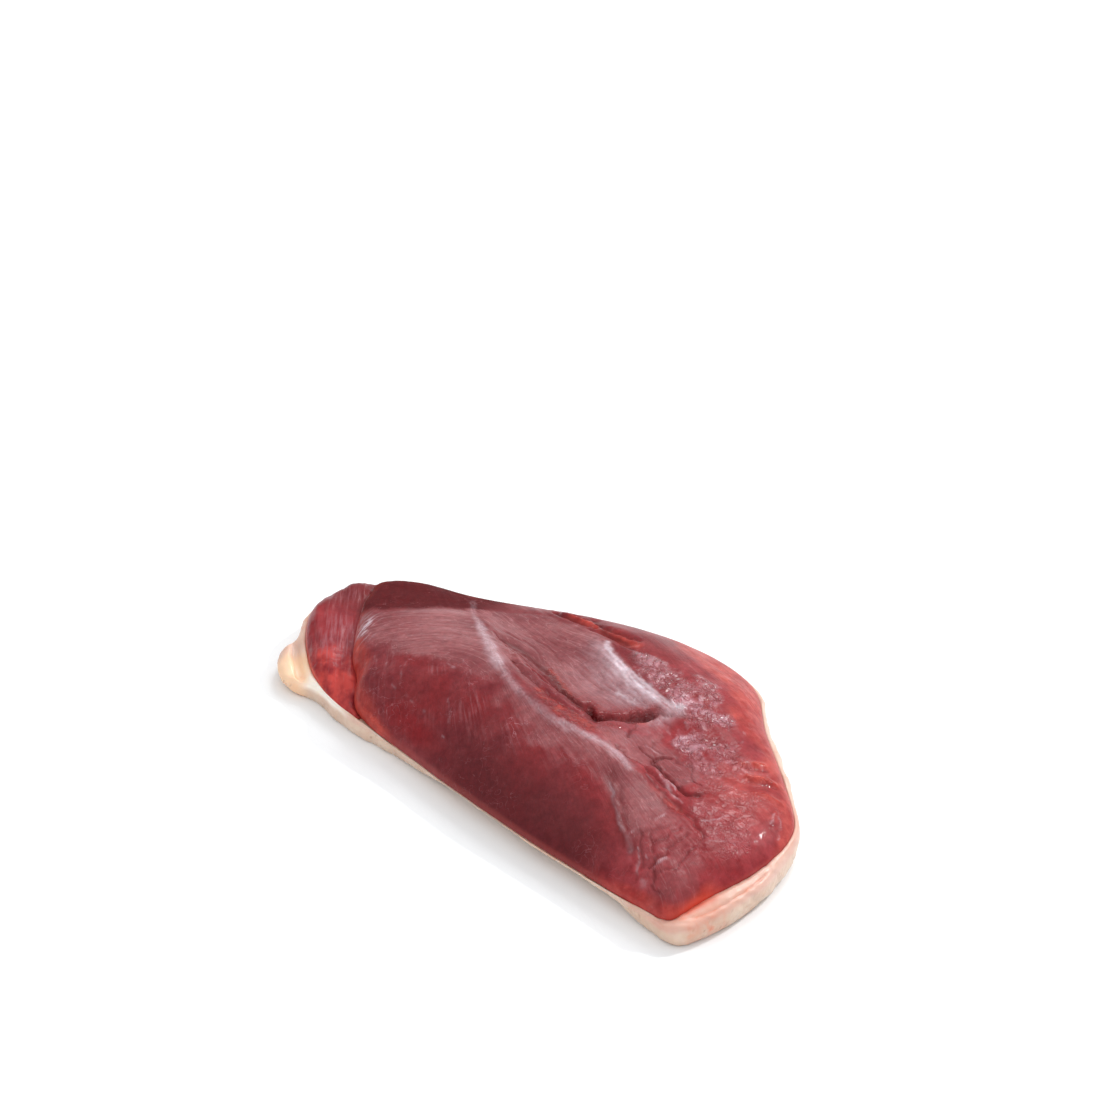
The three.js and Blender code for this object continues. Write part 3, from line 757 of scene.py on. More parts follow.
tendon_distance = distance_to_line(at, TENDON) + 0.5 * layered(at, 3, 33)
tendon = curve(x, TENDON_STRENGTH) * np.exp(-(tendon_distance / curve(x, TENDON_WIDTH)) ** 2)
broken_line = step_between(layered(at, 2.5, 34), -0.5, 0.7)
threads = broken_line * strokes(crinkle, [(line, THREAD_WIDTH, 1) for line in THREADS])
pale_lines = strokes(crinkle, PALE_LINES) * (0.5 + 0.5 * broken_line)
tell(tendon=tendon, threads=threads, pale_lines=pale_lines)

# %% Painted sheen, glints and silver
WHITE_BAND = [(-4.1, 23), (3.2, 18.6), (7.9, 16.3), (15.5, 13.6), (22, 12.2), (27.7, 11.6), (33.5, 13)]
LOW_WHITE_BAND = [(14.3, 8), (19, 7), (24.1, 6.6), (28.7, 7.2)]
WHITE_WIDTH = 0.9
SHEEN_TOP = [(-8, 24), (0, 20.5), (8, 17.6), (15, 15.6), (22, 13.9), (28, 12.6), (34, 13)]
SHEEN_DEPTH = 6

# Painted reflection: the sheen and the white bands, partly real silvery skin, lighten the top where the wet
# skin would mirror the lamp behind. The glints and crest streaks are painted highlights.
below_sheen = curve(x, SHEEN_TOP) - y
sheen = (step_between(below_sheen + 0.3 * feather, -0.4, 0.6) * stretch(x, -16, 14, 31, 37)
         * np.exp(-np.maximum(0, below_sheen) / SHEEN_DEPTH))
glints = step_between(layered(grain, (2.4, 0.7), 38), 0.55, 0.95) * patch(at, (22, 10), (16, 6), -15)
pale_lip = np.exp(-((inside - 0.4) / 0.35) ** 2) * (1 - step_between(x, -60, -50)) * broken_line
crest_streaks = step_between(layered((y, x), (3.5, 0.65), 39), -0.1, 0.5)
silver = strongest(
    0.6 * tendon,
    strokes(crinkle, [(WHITE_BAND, WHITE_WIDTH, 1), (LOW_WHITE_BAND, WHITE_WIDTH, 0.75)]),
    0.4 * threads * (1 - 0.5 * step_between(-x, -10, 0)),
    pale_lines,
    sheen,
    0.7 * glints,
    0.35 * pale_lip,
    0.8 * crest_streaks * patch(at, (-61.5, -16.5), (5, 3), -60, 1),
)
silver = silver * (0.8 + 0.35 * layered(grain, (6, 0.8), 35)) * (1 - 0.95 * open_red)
tell(silver=silver, sheen=sheen, glints=glints)

# %% [markdown]
# ## Rims, blushes and painted shade
# Thin meat lets light through, so a cut rim glows orange, and bare meat is crimson where blood
# stands in it. Strong lamps behind the piece could show that, but they would light it all. The
# masks below only say where the colour turns, and the material mixes it. Some of them also paint
# shade and shadow into the colour: on the near slope, and over the far side of the narrow end.

# %% The thin rim
RED_RIM = [(-12, 40), (0, 41), (10, 40), (24, 33.5), (33, 31), (40, 26), (45, 20.5), (52, 17.5),
           (59, 16.5), (66, 11), (74, 4), (80, -2), (86, -14)]
near_side = step_between(curve(x, TENDON) - y, -1, 5)
uneven = 2.5 * layered(at, 7, 36)


def edge_strip(full, gone, waver=0.0):
    """1 up to full mm in from the muscle's edge and 0 from gone on, with a wavering border."""
    return 1 - step_between(inside + waver * uneven, full, gone)


keel_lip = edge_strip(1.5, 5, 0.4) * patch(at, (-58, -25), (27, 11), -40, 3)
keel_line = edge_strip(0.4, 1.6, 0.1) * patch(at, (-50, -31), (24, 10), -30, 3)
left_lip = edge_strip(1.2, 3.6, 0.5) * (1 - step_between(x, -58, -50))
near_rim = edge_strip(0.6, 2.4, 0.3) * (1 - step_between(y, -36, -30)) * step_between(x, 52, 70)
tip = edge_strip(0.8, 2.6) * step_between(x, 79, 83) * (1 - step_between(y, -38, -33))
# Painted glow: the thin tip of the broad end lit orange as if light shone through it.
thin_edge = np.exp(-(inside / 0.9) ** 2) * patch(at, (84.8, -39.5), (4, 7), -20, 1.2)
# Painted light: the muscle's lowest edge lighter red against the shade where it meets the fat, most at the
# tip and the narrow end.
red_lip = edge_strip(0.1, 0.7) * (0.35 + 0.65 * strongest(tip, left_lip))
tell(keel_lip=keel_lip, near_rim=near_rim, red_lip=red_lip)

# %% Orange, bright and crimson places, painted shadow and painted shade
# Lines, half widths and strengths. The last orange line lies in the furrow and is torn.
ORANGE_LINES = [([(64.2, 4.4), (66.9, 7.2), (69.6, 9)], 1.5, 1), ([(59.8, 7.4), (63.1, 12.8)], 1.3, 0.9),
                ([(70.2, 0.2), (76.2, 3.8)], 1.2, 0.6), ([(50, -19.6), (56, -20.6), (62, -21)], 1.0, 0.5),
                ([(-24, 30.6), (-14, 29.4), (-4, 28.4), (4, 27.6)], 1.6, 0.7)]
ORANGE_TEAR = [([(-6, 1.2), (-2, 0.4), (4, -3), (8, -4.8)], 0.8, 0.7)]
BRIGHT_TEAR = [([(24, -0.5), (27.1, 2), (29.1, 3.8)], 1.2, 0.7)]
# Middles, sizes, headings and strengths.
BRIGHT_SPOTS = [((70, 0), (13, 14), 0, 0.5), ((24, -13), (4, 1.6), 0, 0.4)]
CRIMSON_SPOTS = [((-36, -22.5), (7, 2.6), 0, 0.4), ((-22, -37), (12, 2.4), -8, 0.8),
                 ((-6, -27), (5, 4), 0, 0.6), ((52, 22), (7, 4.5), -20, 0.7), ((78, -28), (9, 8), 0, 0.5),
                 ((52, -3), (14, 9), 0, 0.6), ((66, -15), (12, 8), -20, 0.5), ((40, 14), (20, 9), -25, 0.6)]

orange = strongest(
    0.6 * keel_lip, 0.9 * keel_line, 0.85 * left_lip, thin_edge, 0.4 * near_rim,
    strokes(at, ORANGE_LINES), strokes(crinkle, ORANGE_TEAR),
    0.5 * red_strip * step_between(layered(at, 2.2, 53), -0.4, 0.7),
    0.8 * patch(at, (28.3, -11.8), (2.2, 1), -60, 1.5),
)
wing_rim = step_between(y - curve(x, RED_RIM) + uneven, -2, 4) * step_between(x, -20, 10)
bright = strongest(0.9 * wing_rim, 0.4 * near_rim, strokes(at, BRIGHT_TEAR), patches(at, BRIGHT_SPOTS))
crimson = strongest(
    patches(at, CRIMSON_SPOTS), 0.8 * open_red, patch(at, (81.5, -40), (2.6, 6), -35, 1.5),
    0.35 * step_between(layered(at, 10, 40), 0.1, 0.8) * near_side,
)
# Painted shadow: the far side of the narrow end and the band beyond the crest are darkened where a shadow
# would fall, over some real dark red; the cut walls are darkened a little as painted shade.
beyond_crest = step_between(y - curve(x, CREST_FILM, 2) + 0.8 * feather, -2, 5)
deep = strongest((1 - near_side) * patch(at, (-66, 17), (34, 12), -25, 3),
                 0.9 * beyond_crest * (1 - step_between(x, -52, -38)), 0.15 * open_red)
wine = near_side * (1 - step_between(x, 40, 70)) + (1 - near_side) * (1 - step_between(x, 0, 36))
# Painted shade: the near slope darker towards its edge.
shade = near_side * edge_strip(3, 20) * stretch(x, -25, 8, 45, 66)
tell(orange=orange, bright=bright, crimson=crimson, deep=deep, wine=wine)

# %% [markdown]
# ## Relief of the breast muscle
# The big forms are in the rings already. Bundles, fibres, creases and torn lumps are finer. They
# could all be bumps in the shader, which only bend the light, but a crease needs real depth to look
# right from the side, so what is wider than half a millimetre is pushed out of the mesh.

# %% Fine strokes
# Each is its line, its half width, and how far it rises or sinks, all in millimetres.
FINE_STROKES = [
    # The furrow: two creases, a ridge and its near side, and three marks on the lobe behind it.
    ([(-21.4, 0.5), (-12.4, -1.3), (-6.4, -2.4), (-1.4, -3.9), (3.6, -5.9), (8.6, -6.3),
      (16.1, -5.9)], 0.6, -0.9),
    ([(-9.4, -3.7), (-4.4, -5.1), (0.1, -6.4), (4.1, -6.5)], 0.6, -0.6),
    ([(-15.4, -2.9), (-10.9, -4.7), (-4.1, -7.2), (2.3, -9), (8.4, -10.2), (13, -10.2),
      (18, -8.8)], 1, 0.6),
    ([(-13.4, -5.9), (-5.4, -9), (2.6, -11.2), (10.6, -12.2), (18, -11)], 0.6, -0.45),
    ([(-30, 8.6), (-22.3, 8.6), (-15.5, 6.8), (-8, 2.6)], 0.5, -0.25),
    ([(-30, 4.2), (-22, 1.8), (-14, 1), (-4, -1.4)], 0.6, -0.45),
    ([(-26, 13), (-18, 12.6), (-9, 9.6)], 0.5, -0.2),
    # The slit: its floor, thin end and branch, a crack before it, and its far lip.
    ([(15.8, -5.2), (19.4, -7), (22.2, -4.6), (24.2, -0.6), (26.4, 1.3), (28.1, 5.7)], 0.7, -1.3),
    ([(27.6, 4.8), (30, 7.4), (33, 9)], 0.7, -0.5),
    ([(24.9, 0.8), (27.6, -0.4), (29.6, -3.4), (31.8, -7.2)], 0.45, -0.6),
    ([(33.3, -13.4), (36, -14.9), (39.2, -15.3), (42.4, -14.4), (45, -14.4)], 0.4, -0.4),
    ([(19.8, -2.2), (23, 2.2), (25, 4.8), (27.2, 7.8)], 1, 0.5),
    # The hooked crease: its floor, side crack, second line and edge, and a line beside it.
    ([(43.8, -4.5), (42.4, -6.9), (43, -10.1), (47.3, -11.5), (52.7, -13.2), (58.5, -14.3),
      (61, -11.9)], 0.5, -0.7),
    ([(36.5, -8.3), (39.6, -8.9), (42.4, -8.3)], 0.5, -0.5),
    ([(44.3, -14.1), (48.8, -15.4), (53.2, -16.4), (57.8, -16.9)], 0.6, -0.55),
    ([(44.6, -12.5), (49.1, -13.8), (54, -15)], 0.6, 0.35),
    ([(54.7, -20.4), (59, -22), (64, -20.8), (69, -22.7), (73, -24.6)], 0.6, -0.4),
    # The front fold's lip and floor.
    ([(43, -25.6), (46.5, -28.9), (51.7, -33.3), (56.2, -36), (59.7, -39)], 0.5, 0.25),
    ([(45.4, -26.2), (51.2, -31.2), (55.6, -34.4)], 0.8, -0.25),
    # The near corner: a slit and its foot, then seven creases.
    ([(68.7, -41), (69.3, -38.3), (69.9, -35.6)], 0.5, -0.6),
    ([(70.8, -40.8), (72.1, -42.8), (73.2, -44.4), (75.8, -45.5)], 0.45, -0.5),
    ([(69.1, -34.7), (69.2, -30.9), (69.2, -26.9)], 0.4, -0.4),
    ([(64.7, -35.2), (65.7, -32.2), (66.1, -28.4), (66.4, -26)], 0.4, -0.35),
    ([(58.9, -34.8), (61.3, -32.2), (63.4, -29), (65.1, -25.7)], 0.4, -0.25),
    ([(72.8, -40.6), (74.7, -38.1), (74.1, -32.6), (74.1, -28.7)], 0.45, -0.4),
    ([(58.8, -33.2), (63, -37.8), (67.1, -42.4)], 0.35, -0.3),
    ([(61.7, -32.7), (64.6, -35.1), (67.5, -37.5)], 0.35, -0.3),
    ([(62.6, -38.6), (65.4, -41.8), (67.6, -44.4)], 0.35, -0.25),
    # Three orange folds at the broad end, with a shadow under two of them.
    ([(64.2, 4.4), (66.9, 7.2), (69.6, 9)], 1, 0.9),
    ([(65.8, 3.6), (68.4, 6), (71, 7.6)], 0.6, -0.4),
    ([(59.8, 7.4), (61.4, 10), (63.1, 12.8)], 0.9, 0.7),
    ([(61.4, 6.4), (63.2, 9), (65, 11.6)], 0.6, -0.35),
    ([(70.2, 0.2), (73.2, 2.6), (76.2, 3.8)], 0.9, 0.5),
    # Three strands on the far side, and the strip between them.
    ([(-30.9, 30.4), (-23.9, 29.3), (-17.5, 28.2), (-12.9, 28.6)], 0.7, -0.7),
    ([(-24.9, 32.5), (-14.9, 31.6), (-5.9, 30), (2.1, 30.6)], 0.7, -0.6),
    ([(-12.9, 26.4), (-5.9, 27.4), (2.1, 25.2), (8.1, 25.6)], 0.6, -0.5),
    ([(-27.9, 31), (-16.9, 30), (-8.9, 29)], 0.8, 0.6),
    # Two thin folds and three cracks at the broad end.
    ([(80.4, -6), (78.2, -0.6)], 0.4, 0.4),
    ([(44.5, -3), (47, -4.5), (50.5, -3.4), (53, -5.6)], 0.4, -0.2),
    ([(53, -5.6), (55.5, -8.6), (59, -8.6)], 0.35, -0.2),
    ([(36, -2), (38.5, -4.5), (41.5, -4.2)], 0.4, -0.2),
    ([(78.2, -0.6), (82.4, -3.6), (84.5, -8)], 0.4, 0.4),
]

fine = sum(rise * stroke(crinkle, line, width) for line, width, rise in FINE_STROKES)
print("fine strokes", len(FINE_STROKES), "from", round(fine.min(), 2), "to", round(fine.max(), 2), "mm")

# %% Creases and thin dark lines
LEAST_CREASE_WIDTH = 0.36

# Painted shade: the sinking strokes and the thin dark lines in the red strip are darkened in the colour, as
# shade in a crease over darker red meat.
sinking = [(line, max(LEAST_CREASE_WIDTH, 0.55 * width), min(1, 0.2 - rise))
           for line, width, rise in MAIN_STROKES + FINE_STROKES if rise < 0]
veins = 1 - step_between(np.abs(layered(at, 1.7, 54)), 0.02, 0.2)
crease = strongest(strokes(crinkle, sinking), 0.7 * red_strip * veins) * step_between(inside, 0, 2)
tell(crease=crease)

# %% Fibres and lumps
# Heights and sizes in mm. Bundles and fibres have a size along and one across.
BUNDLE_HEIGHT, BUNDLE_SIZE = 0.12, (35, 4.5)
FIBRE_HEIGHT, FIBRE_SIZE = 0.07, (14, 1.4)
LUMP_HEIGHT, LUMP_SIZE = 0.45, 3.4
GRIT_HEIGHT, GRIT_SIZE = 0.18, 1.1
SOFT_LUMP_HEIGHT, SOFT_LUMP_SIZE = 0.16, 5
WAVE_HEIGHT, WAVE_SIZE = 0.4, 22

fibres = 0
for amount, (along, across) in ((1 - on_lobe, slope_grain), (on_lobe, lobe_grain)):
    swayed = (along, across + 2 * layered((along, across), 25, 2, 1))
    ripple = step_between(layered((along, across), 16, 8), -0.2, 0.8) * (1 - 0.6 * film)
    bundles = BUNDLE_HEIGHT * layered(swayed, BUNDLE_SIZE, 3)
    fibres = fibres + amount * (bundles + FIBRE_HEIGHT * ripple * layered(swayed, FIBRE_SIZE, 4))
lumps = LUMP_HEIGHT * (0.5 - np.abs(layered(at, LUMP_SIZE, 5, 3))) + GRIT_HEIGHT * layered(at, GRIT_SIZE, 9)
soft_lumps = SOFT_LUMP_HEIGHT * layered(at, SOFT_LUMP_SIZE, 12, 3) * (1 - wine) * step_between(x, 10, 40)
waves = WAVE_HEIGHT * layered(at, WAVE_SIZE, 6)
relief = (fibres * (1 - 0.7 * broken) * step_between(inside, 0, 2)
          + (lumps * broken + soft_lumps + waves + fine) * step_between(inside, 0.5, 7))
print("relief from", round(relief.min(), 2), "to", round(relief.max(), 2), "mm")

# %% The breast muscle's mesh
# The relief fades to this share round the curled edge, and there is none underneath.
CURL_RELIEF = 0.4

fade = np.ones(len(rings))
last_curl = len(top) + CURL_STEPS - 1
fade[len(top):last_curl] = np.linspace(1, CURL_RELIEF, CURL_STEPS - 1)
fade[last_curl:] = 0
normal = normals_of(rings)
normal[0] = (0, 0, 1)
rings = rings + normal * (relief * fade[:, None])[..., None]

meat_masks = {
    "film": film, "silver": silver, "wisp": wisp, "broken": broken, "torn": torn, "crease": crease,
    "wine": wine, "crimson": crimson, "bright": bright, "orange": np.clip(orange, 0, 1), "deep": deep,
    "shade": shade, "thin_edge": thin_edge, "red_lip": red_lip, "on_lobe": on_lobe,
}
fibre_places = {"slope_fibre": np.stack([*slope_grain, rings[..., 2]], axis=-1),
                "lobe_fibre": np.stack([*lobe_grain, rings[..., 2]], axis=-1)}
breast_meat = body_from_rings("breast_meat", rings, {**meat_masks, **fibre_places})
place_in_frame(breast_meat, "breast_muscle")

# %% [markdown]
# ## The end muscle
# The small muscle shows only at the narrow end. It could be a lump pushed half into the large one,
# but then the two would cut through each other. So along each spoke it is a closed loop: out along
# the fat, round its edge, back along the top that shows, and down under the large muscle's lip.

# %% Loops of the end muscle
LAP_TIP_SHARE = 0.25
END_MUSCLE_SWELL = 0.8
END_MUSCLE_LEAST_RISE = 0.4
END_TOP_RINGS = 40
END_SEAT_RINGS = 12
END_LAP_RINGS = 7

inner_tip = end - LAP_WIDTH * (1 - LAP_TIP_SHARE)
shown = reach - end
lip_under = lip - EDGE_CURL - GAP
seated = inner_tip + (reach - EDGE_CURL - inner_tip) * np.linspace(0, 1, END_SEAT_RINGS + 1)[:-1, None]
g = crowded(END_TOP_RINGS)[::-1]
swell = END_MUSCLE_SWELL * 4 * g * (1 - g)
shown_top = rim + (lip_under + swell - rim) * roll_up(shown * (1 - g) / roll)
lap_share = (1 - LAP_TIP_SHARE) * np.linspace(0, 1, END_LAP_RINGS + 1)[1:-1, None]
lapped = end - EDGE_CURL - (LAP_WIDTH - EDGE_CURL) * lap_share
loops = np.vstack([on_spoke(seated, seat_height(seated) + GAP), curl(reach, rim, turns[::-1]),
                   on_spoke(end + shown * g, shown_top), on_spoke(lapped, underside(lapped) - GAP)])
order = np.roll(np.arange(SPOKES), -half)
order = order[(lip - rim)[order] > END_MUSCLE_LEAST_RISE]
sections = loops.transpose(1, 0, 2)[order]
x, y = at = (sections[..., 0], sections[..., 1])
print("end muscle", len(order), "loops of", len(loops), "points")

# %% The end muscle's relief
END_FIBRE_HEADING = np.radians(133)
# Heights and sizes in mm.
END_FIBRE_HEIGHT, END_FIBRE_SIZE = 0.28, (14, 1.8)
END_WAVE_HEIGHT, END_WAVE_SIZE = 0.35, 8
END_LUMP_HEIGHT, END_LUMP_SIZE = 0.22, 3.2
FREE_WIDTH = 6
END_CREASES = [
    ([(-69, -33.5), (-66, -30.6), (-63.5, -29.6), (-61.5, -27)], 0.6, -0.2),
    ([(-57, -31.5), (-54.5, -33.6), (-51, -36)], 0.6, -0.2),
    ([(-80, -20), (-75, -24), (-70, -27)], 0.6, -0.3),
    ([(-64, -24), (-60.5, -28), (-57, -31.5), (-54, -34)], 1, -0.35),
    ([(-70, -30.6), (-65, -32.4), (-60, -34.4)], 0.7, -0.3),
]

along, across = turned(at, END_FIBRE_HEADING)
relief = (END_FIBRE_HEIGHT * layered((along, across), END_FIBRE_SIZE, 21)
          + END_WAVE_HEIGHT * layered(at, END_WAVE_SIZE, 22))
relief = relief + sum(rise * stroke(at, line, width) for line, width, rise in END_CREASES)
relief = relief + END_LUMP_HEIGHT * (0.5 - np.abs(layered(at, END_LUMP_SIZE, 26))) * step_between(-y, 18, 26)
first_top = END_SEAT_RINGS + CURL_STEPS
number = np.arange(len(loops))
on_top = (number >= first_top) & (number <= first_top + END_TOP_RINGS)
sections[..., 2] += relief * on_top * np.clip(shown[order][:, None] / FREE_WIDTH, 0, 1)
print("relief from", round(relief.min(), 2), "to", round(relief.max(), 2), "mm")

# %% Looks of the end muscle
end_creases = strokes(crinkled(at), [(line, width, 1) for line, width, _ in END_CREASES])
# Painted light: the cut rim where the end muscle meets the fat is lightened to orange-red against the shade
# of the joint.
cut_rim = stretch(number, first_top - 7, first_top - 2, first_top + 2, first_top + 9)
end_masks = {
    "film": 0.8 * patch(at, (-70, -20), (11, 6), 133) + 0.3 * patch(at, (-84, -3), (8, 5), 120),
    # Painted shadow: the far side of the end muscle darker, over some real dark red.
    "deep": step_between(y + 2 * layered(at, 5, 25), -16, -2),
    "bright": step_between(-y + 0.3 * x + 3 * layered(at, 5, 23, 3), 2, 12),
    # Painted shade in the end muscle's creases.
    "crease": end_creases * step_between(layered(at, 2, 24), -0.6, 0.5),
    "rim": cut_rim * np.ones(x.shape),
}
tell(**end_masks)

# %% The end muscle's mesh
number = np.arange(sections[..., 0].size).reshape(sections.shape[:2])
faces = grid_faces(number).tolist() + [number[0].tolist(), number[-1][::-1].tolist()]
end_looks = {**end_masks, "fibre": np.stack([along, across, sections[..., 2]], axis=-1)}
flat_looks = {key: values.reshape(number.size, *values.shape[2:]) for key, values in end_looks.items()}
end_meat = to_object("end_meat", sections.reshape(-1, 3), faces, flat_looks)
place_in_frame(end_meat, "end_muscle")

# %% [markdown]
# ## The skin and its fat
# The skin is a shallow dish. Under the meat only its smooth top matters. Round the rim the cut fat
# shows as a ledge, and below it the skin turns down to the table. A small lump of fat stands out at
# the narrow end, parted from the strip beside the meat by a soft cleft. Along the keel side the
# meat hangs over, and only a thin line of skin shows under it. A sheet given a thickness would
# have the same ledge all round, so the section is worked out anew on every spoke.

# %% The section of the skin
LEDGE_START = 0.35
SHOULDER_POWER = 0.6
LUMP_SHOULDER_POWER = 1.0
WIDEST_SHARE_FULL = 0.6
WIDEST_SHARE_NONE = 0.9
FULL_STAND_OUT = 1.5
LEDGE_FROM = 0.25
LEDGE_FULL = 0.5
LEDGE_RISE = 1.5
LEDGE_UNEVEN = 0.3
RAGGED_FROM = 72
RAGGED_TO = 84
LEDGE_GAP = 0.05
ROUND_FOOT = 4
STRAIGHT_FOOT = 8

seat = rim - EDGE_CURL - GAP
ledge = np.clip((over - LEDGE_FROM) / LEDGE_FULL, 0, 1)
ledge_start = np.minimum(LEDGE_START, LEDGE_START * over) * (1 - ledge) + LEDGE_GAP * ledge
ragged = step_between(rows[:, 0], RAGGED_FROM, RAGGED_TO)
on_rim = rows[:, :2].T
ledge_wave = layered(on_rim, 11, 43, 3) + 1.2 * ragged * layered(on_rim, 3.5, 44)
ledge_top = seat + (EDGE_CURL + GAP) * LEDGE_RISE * (1 + LEDGE_UNEVEN * ledge_wave) * ledge
fullness = np.clip(over / FULL_STAND_OUT, 0, 1)
widest = seat * (WIDEST_SHARE_NONE + (WIDEST_SHARE_FULL - WIDEST_SHARE_NONE) * fullness)
flank_power = 1 + np.clip((foot - ROUND_FOOT) / (STRAIGHT_FOOT - ROUND_FOOT), 0, 1)
shoulder = SHOULDER_POWER + (LUMP_SHOULDER_POWER - SHOULDER_POWER) * lump
print("ledge from", round(ledge_top.min(), 1), "to", round(ledge_top.max(), 1), "mm high")

# %% Rings of the skin
SEAT_SHARES = np.array((0, 0.3, 0.55, 0.75, 0.9, 1))[:, None]
SHOULDER_RINGS = 22
FLANK_RINGS = 11
UNDER_RINGS = 55

seated = (reach - EDGE_CURL) * SEAT_SHARES
turn = np.linspace(0, np.pi / 2, SHOULDER_RINGS)[:, None]
stand = ledge_start + (over - ledge_start) * np.sin(turn) ** shoulder
cleft = lump * LUMP["cleft_depth"] * np.exp(-((stand - LUMP["cleft_at"]) / LUMP["cleft_width"]) ** 2)
shoulder_height = widest + (ledge_top - widest) * np.cos(turn) ** shoulder - cleft
turn = np.linspace(0, np.pi / 2, FLANK_RINGS + 1)[1:, None]
inward = foot * (1 - np.clip(np.cos(turn), 0, 1) ** flank_power)
flank_height = widest * (1 - np.sin(turn) ** flank_power)
under = (reach + over - foot) * np.linspace(1, 0, UNDER_RINGS + 1)[1:, None]
skin = np.vstack([on_spoke(seated, seat_height(seated)), on_spoke(reach + ledge_start, seat)[None],
                  on_spoke(reach + stand, shoulder_height),
                  on_spoke(reach + over - inward, flank_height), on_spoke(under, 0.0)])
ledge_ring = len(SEAT_SHARES) + 1
skin_ring = ledge_ring + SHOULDER_RINGS
foot_ring = skin_ring + FLANK_RINGS
x, y = at = (skin[..., 0], skin[..., 1])
print("rings", len(skin), "widest stand-out", round(over.max(), 1), "mm")

# %% Uneven skin, laid out flat
# Heights and sizes in mm: waves, dimples, the torn face of the broad end, and a line in its fat.
SKIN_WAVE_HEIGHT, SKIN_WAVE_SIZE = 0.4, 9
DIMPLE_HEIGHT, DIMPLE_SIZE = 0.12, 2.5
RAGGED_HEIGHT, RAGGED_SIZE = 0.18, 4
FAT_LINE_DEPTH, FAT_LINE_WIDTH = 0.35, 0.5
SKIN_SINK = 0.15
FAT_LINE = [(83.4, -45.2), (86, -42), (88.2, -37.5), (89.4, -31), (89.6, -24), (89.3, -18)]

show = np.zeros(len(skin))
show[ledge_ring:foot_ring] = np.minimum(1, np.linspace(0, 6, foot_ring - ledge_ring))
show[foot_ring - 4:foot_ring] *= np.linspace(0.8, 0, 4)
round_side = (x, y + skin[..., 2])
uneven = (SKIN_WAVE_HEIGHT * layered(round_side, SKIN_WAVE_SIZE, 41)
          + DIMPLE_HEIGHT * layered(round_side, DIMPLE_SIZE, 42) - SKIN_SINK
          + RAGGED_HEIGHT * ragged * layered(round_side, RAGGED_SIZE, 45, 3)
          - FAT_LINE_DEPTH * stroke(at, FAT_LINE, FAT_LINE_WIDTH))
skin = skin + normals_of(skin) * (uneven * show[:, None] * np.clip(over + 0.6, 0.15, 1))[..., None]
skin[..., 2] = np.maximum(skin[..., 2], 0)
step = np.linalg.norm(np.diff(skin, axis=0, prepend=skin[:1]), axis=-1)
path = np.cumsum(step[::-1], axis=0)[::-1]
unrolled = np.concatenate([core + out * path[..., None], skin[..., 2:]], axis=-1)
print("longest way from the middle of the underside", round(path.max()), "mm")

# %% Looks of the skin and fat
BLUSH_SPOTS = [((88, -45.5), (2, 1.2), 0, 0.5), ((89, -41), (5, 6), 0, 0.4), ((90, -37), (2, 3), 0, 0.35),
               ((-70, -36), (2.6, 2.0), 0, 0.8), ((-85, -17), (3, 5), -40, 0.35)]
SKIN_BLEND = 6
HIGH_UP = 4

on_skin = np.zeros(skin.shape[:2])
on_skin[skin_ring - SKIN_BLEND:skin_ring] = np.linspace(0, 1, SKIN_BLEND)[:, None]
on_skin[skin_ring:] = 1
z = skin[..., 2]
past_edge = np.linalg.norm(skin[..., :2] - rows[:, :2], axis=-1)
skin_masks = {
    "outer_skin": on_skin,
    "pink_ledge": (1 - on_skin) * step_between(x, 70, 80) * (z > HIGH_UP),
    "blush": strongest(patches(at, BLUSH_SPOTS), 0.7 * stroke(at, FAT_LINE, 0.55) * (z > HIGH_UP),
                       0.9 * patch(at, (89.8, -40), (1.2, 1.6), 30) * (z > 3)),
    "glow": ((1 - step_between(past_edge, 0.4, 2.8)) * patch(at, (85.8, -39.5), (4, 6), -20)
             * (on_skin < 1)),
    "white_fat": strongest(patch(at, (-62, -37.5), (16, 4), -12, 3) * (on_skin < 1),
                           0.4 * patch(at, (91, -16), (6, 12))),
    "knob": patch(at, (-73.5, -35), (8, 6), -30, 3),
}
skin_piece = body_from_rings("skin_and_fat", skin, {**skin_masks, "unrolled": unrolled})
place_in_frame(skin_piece, "skin_fat")

# %% [markdown]
# ## Layers and patterns
# Every material here is a stack of thin layers: a colour, then what lies over it, each with a mask
# that says how much it covers. Clouds and streaks come from noises. An image could give them too,
# but a noise has no edge and no repeat. One function makes the noises, one multiplies what decides
# a layer's cover, and one lays the layers over each other.

# %% Patterns and masks
def noises(tree, table):
    """Noises by name. Each is given as its coordinates in mm, the size of its grain in mm, or sizes
    along and across the fibres, and its detail, roughness and distortion."""
    made = {}
    for name, (places, size, *shape) in table.items():
        cells = (1 / size[0], 1 / size[1], 0) if isinstance(size, tuple) else (1 / size,) * 3
        scaled = add(tree, "VectorMath MULTIPLY", places, cells)
        settings = dict(zip(("Detail", "Roughness", "Distortion"), shape))
        made[name] = add(tree, "TexNoise", scaled, **{"Scale": 1, "Detail": 3, **settings})
    return made


def masks_of(tree, names):
    """The masks stored on the mesh, by name."""
    return {name: add(tree, "Attribute", out="Fac", attribute_name=name) for name in names}


def places_of(tree):
    """The piece's own coordinates in millimetres."""
    return add(tree, "VectorMath MULTIPLY", add(tree, "TexCoord", out="Object"), (1 / MM,) * 3)


# %% Layers and bumps
def product(tree, *factors):
    """Factors multiplied. Each is a socket, a number, or a tuple that moves a value from one range
    to another, which is 0 to 1 unless said: value, from low, from high, to low, to high."""
    total = 1.0
    for factor in factors:
        if isinstance(factor, tuple):
            factor = add(tree, "MapRange", *factor)
        total = add(tree, "Math MULTIPLY", total, factor)
    return total


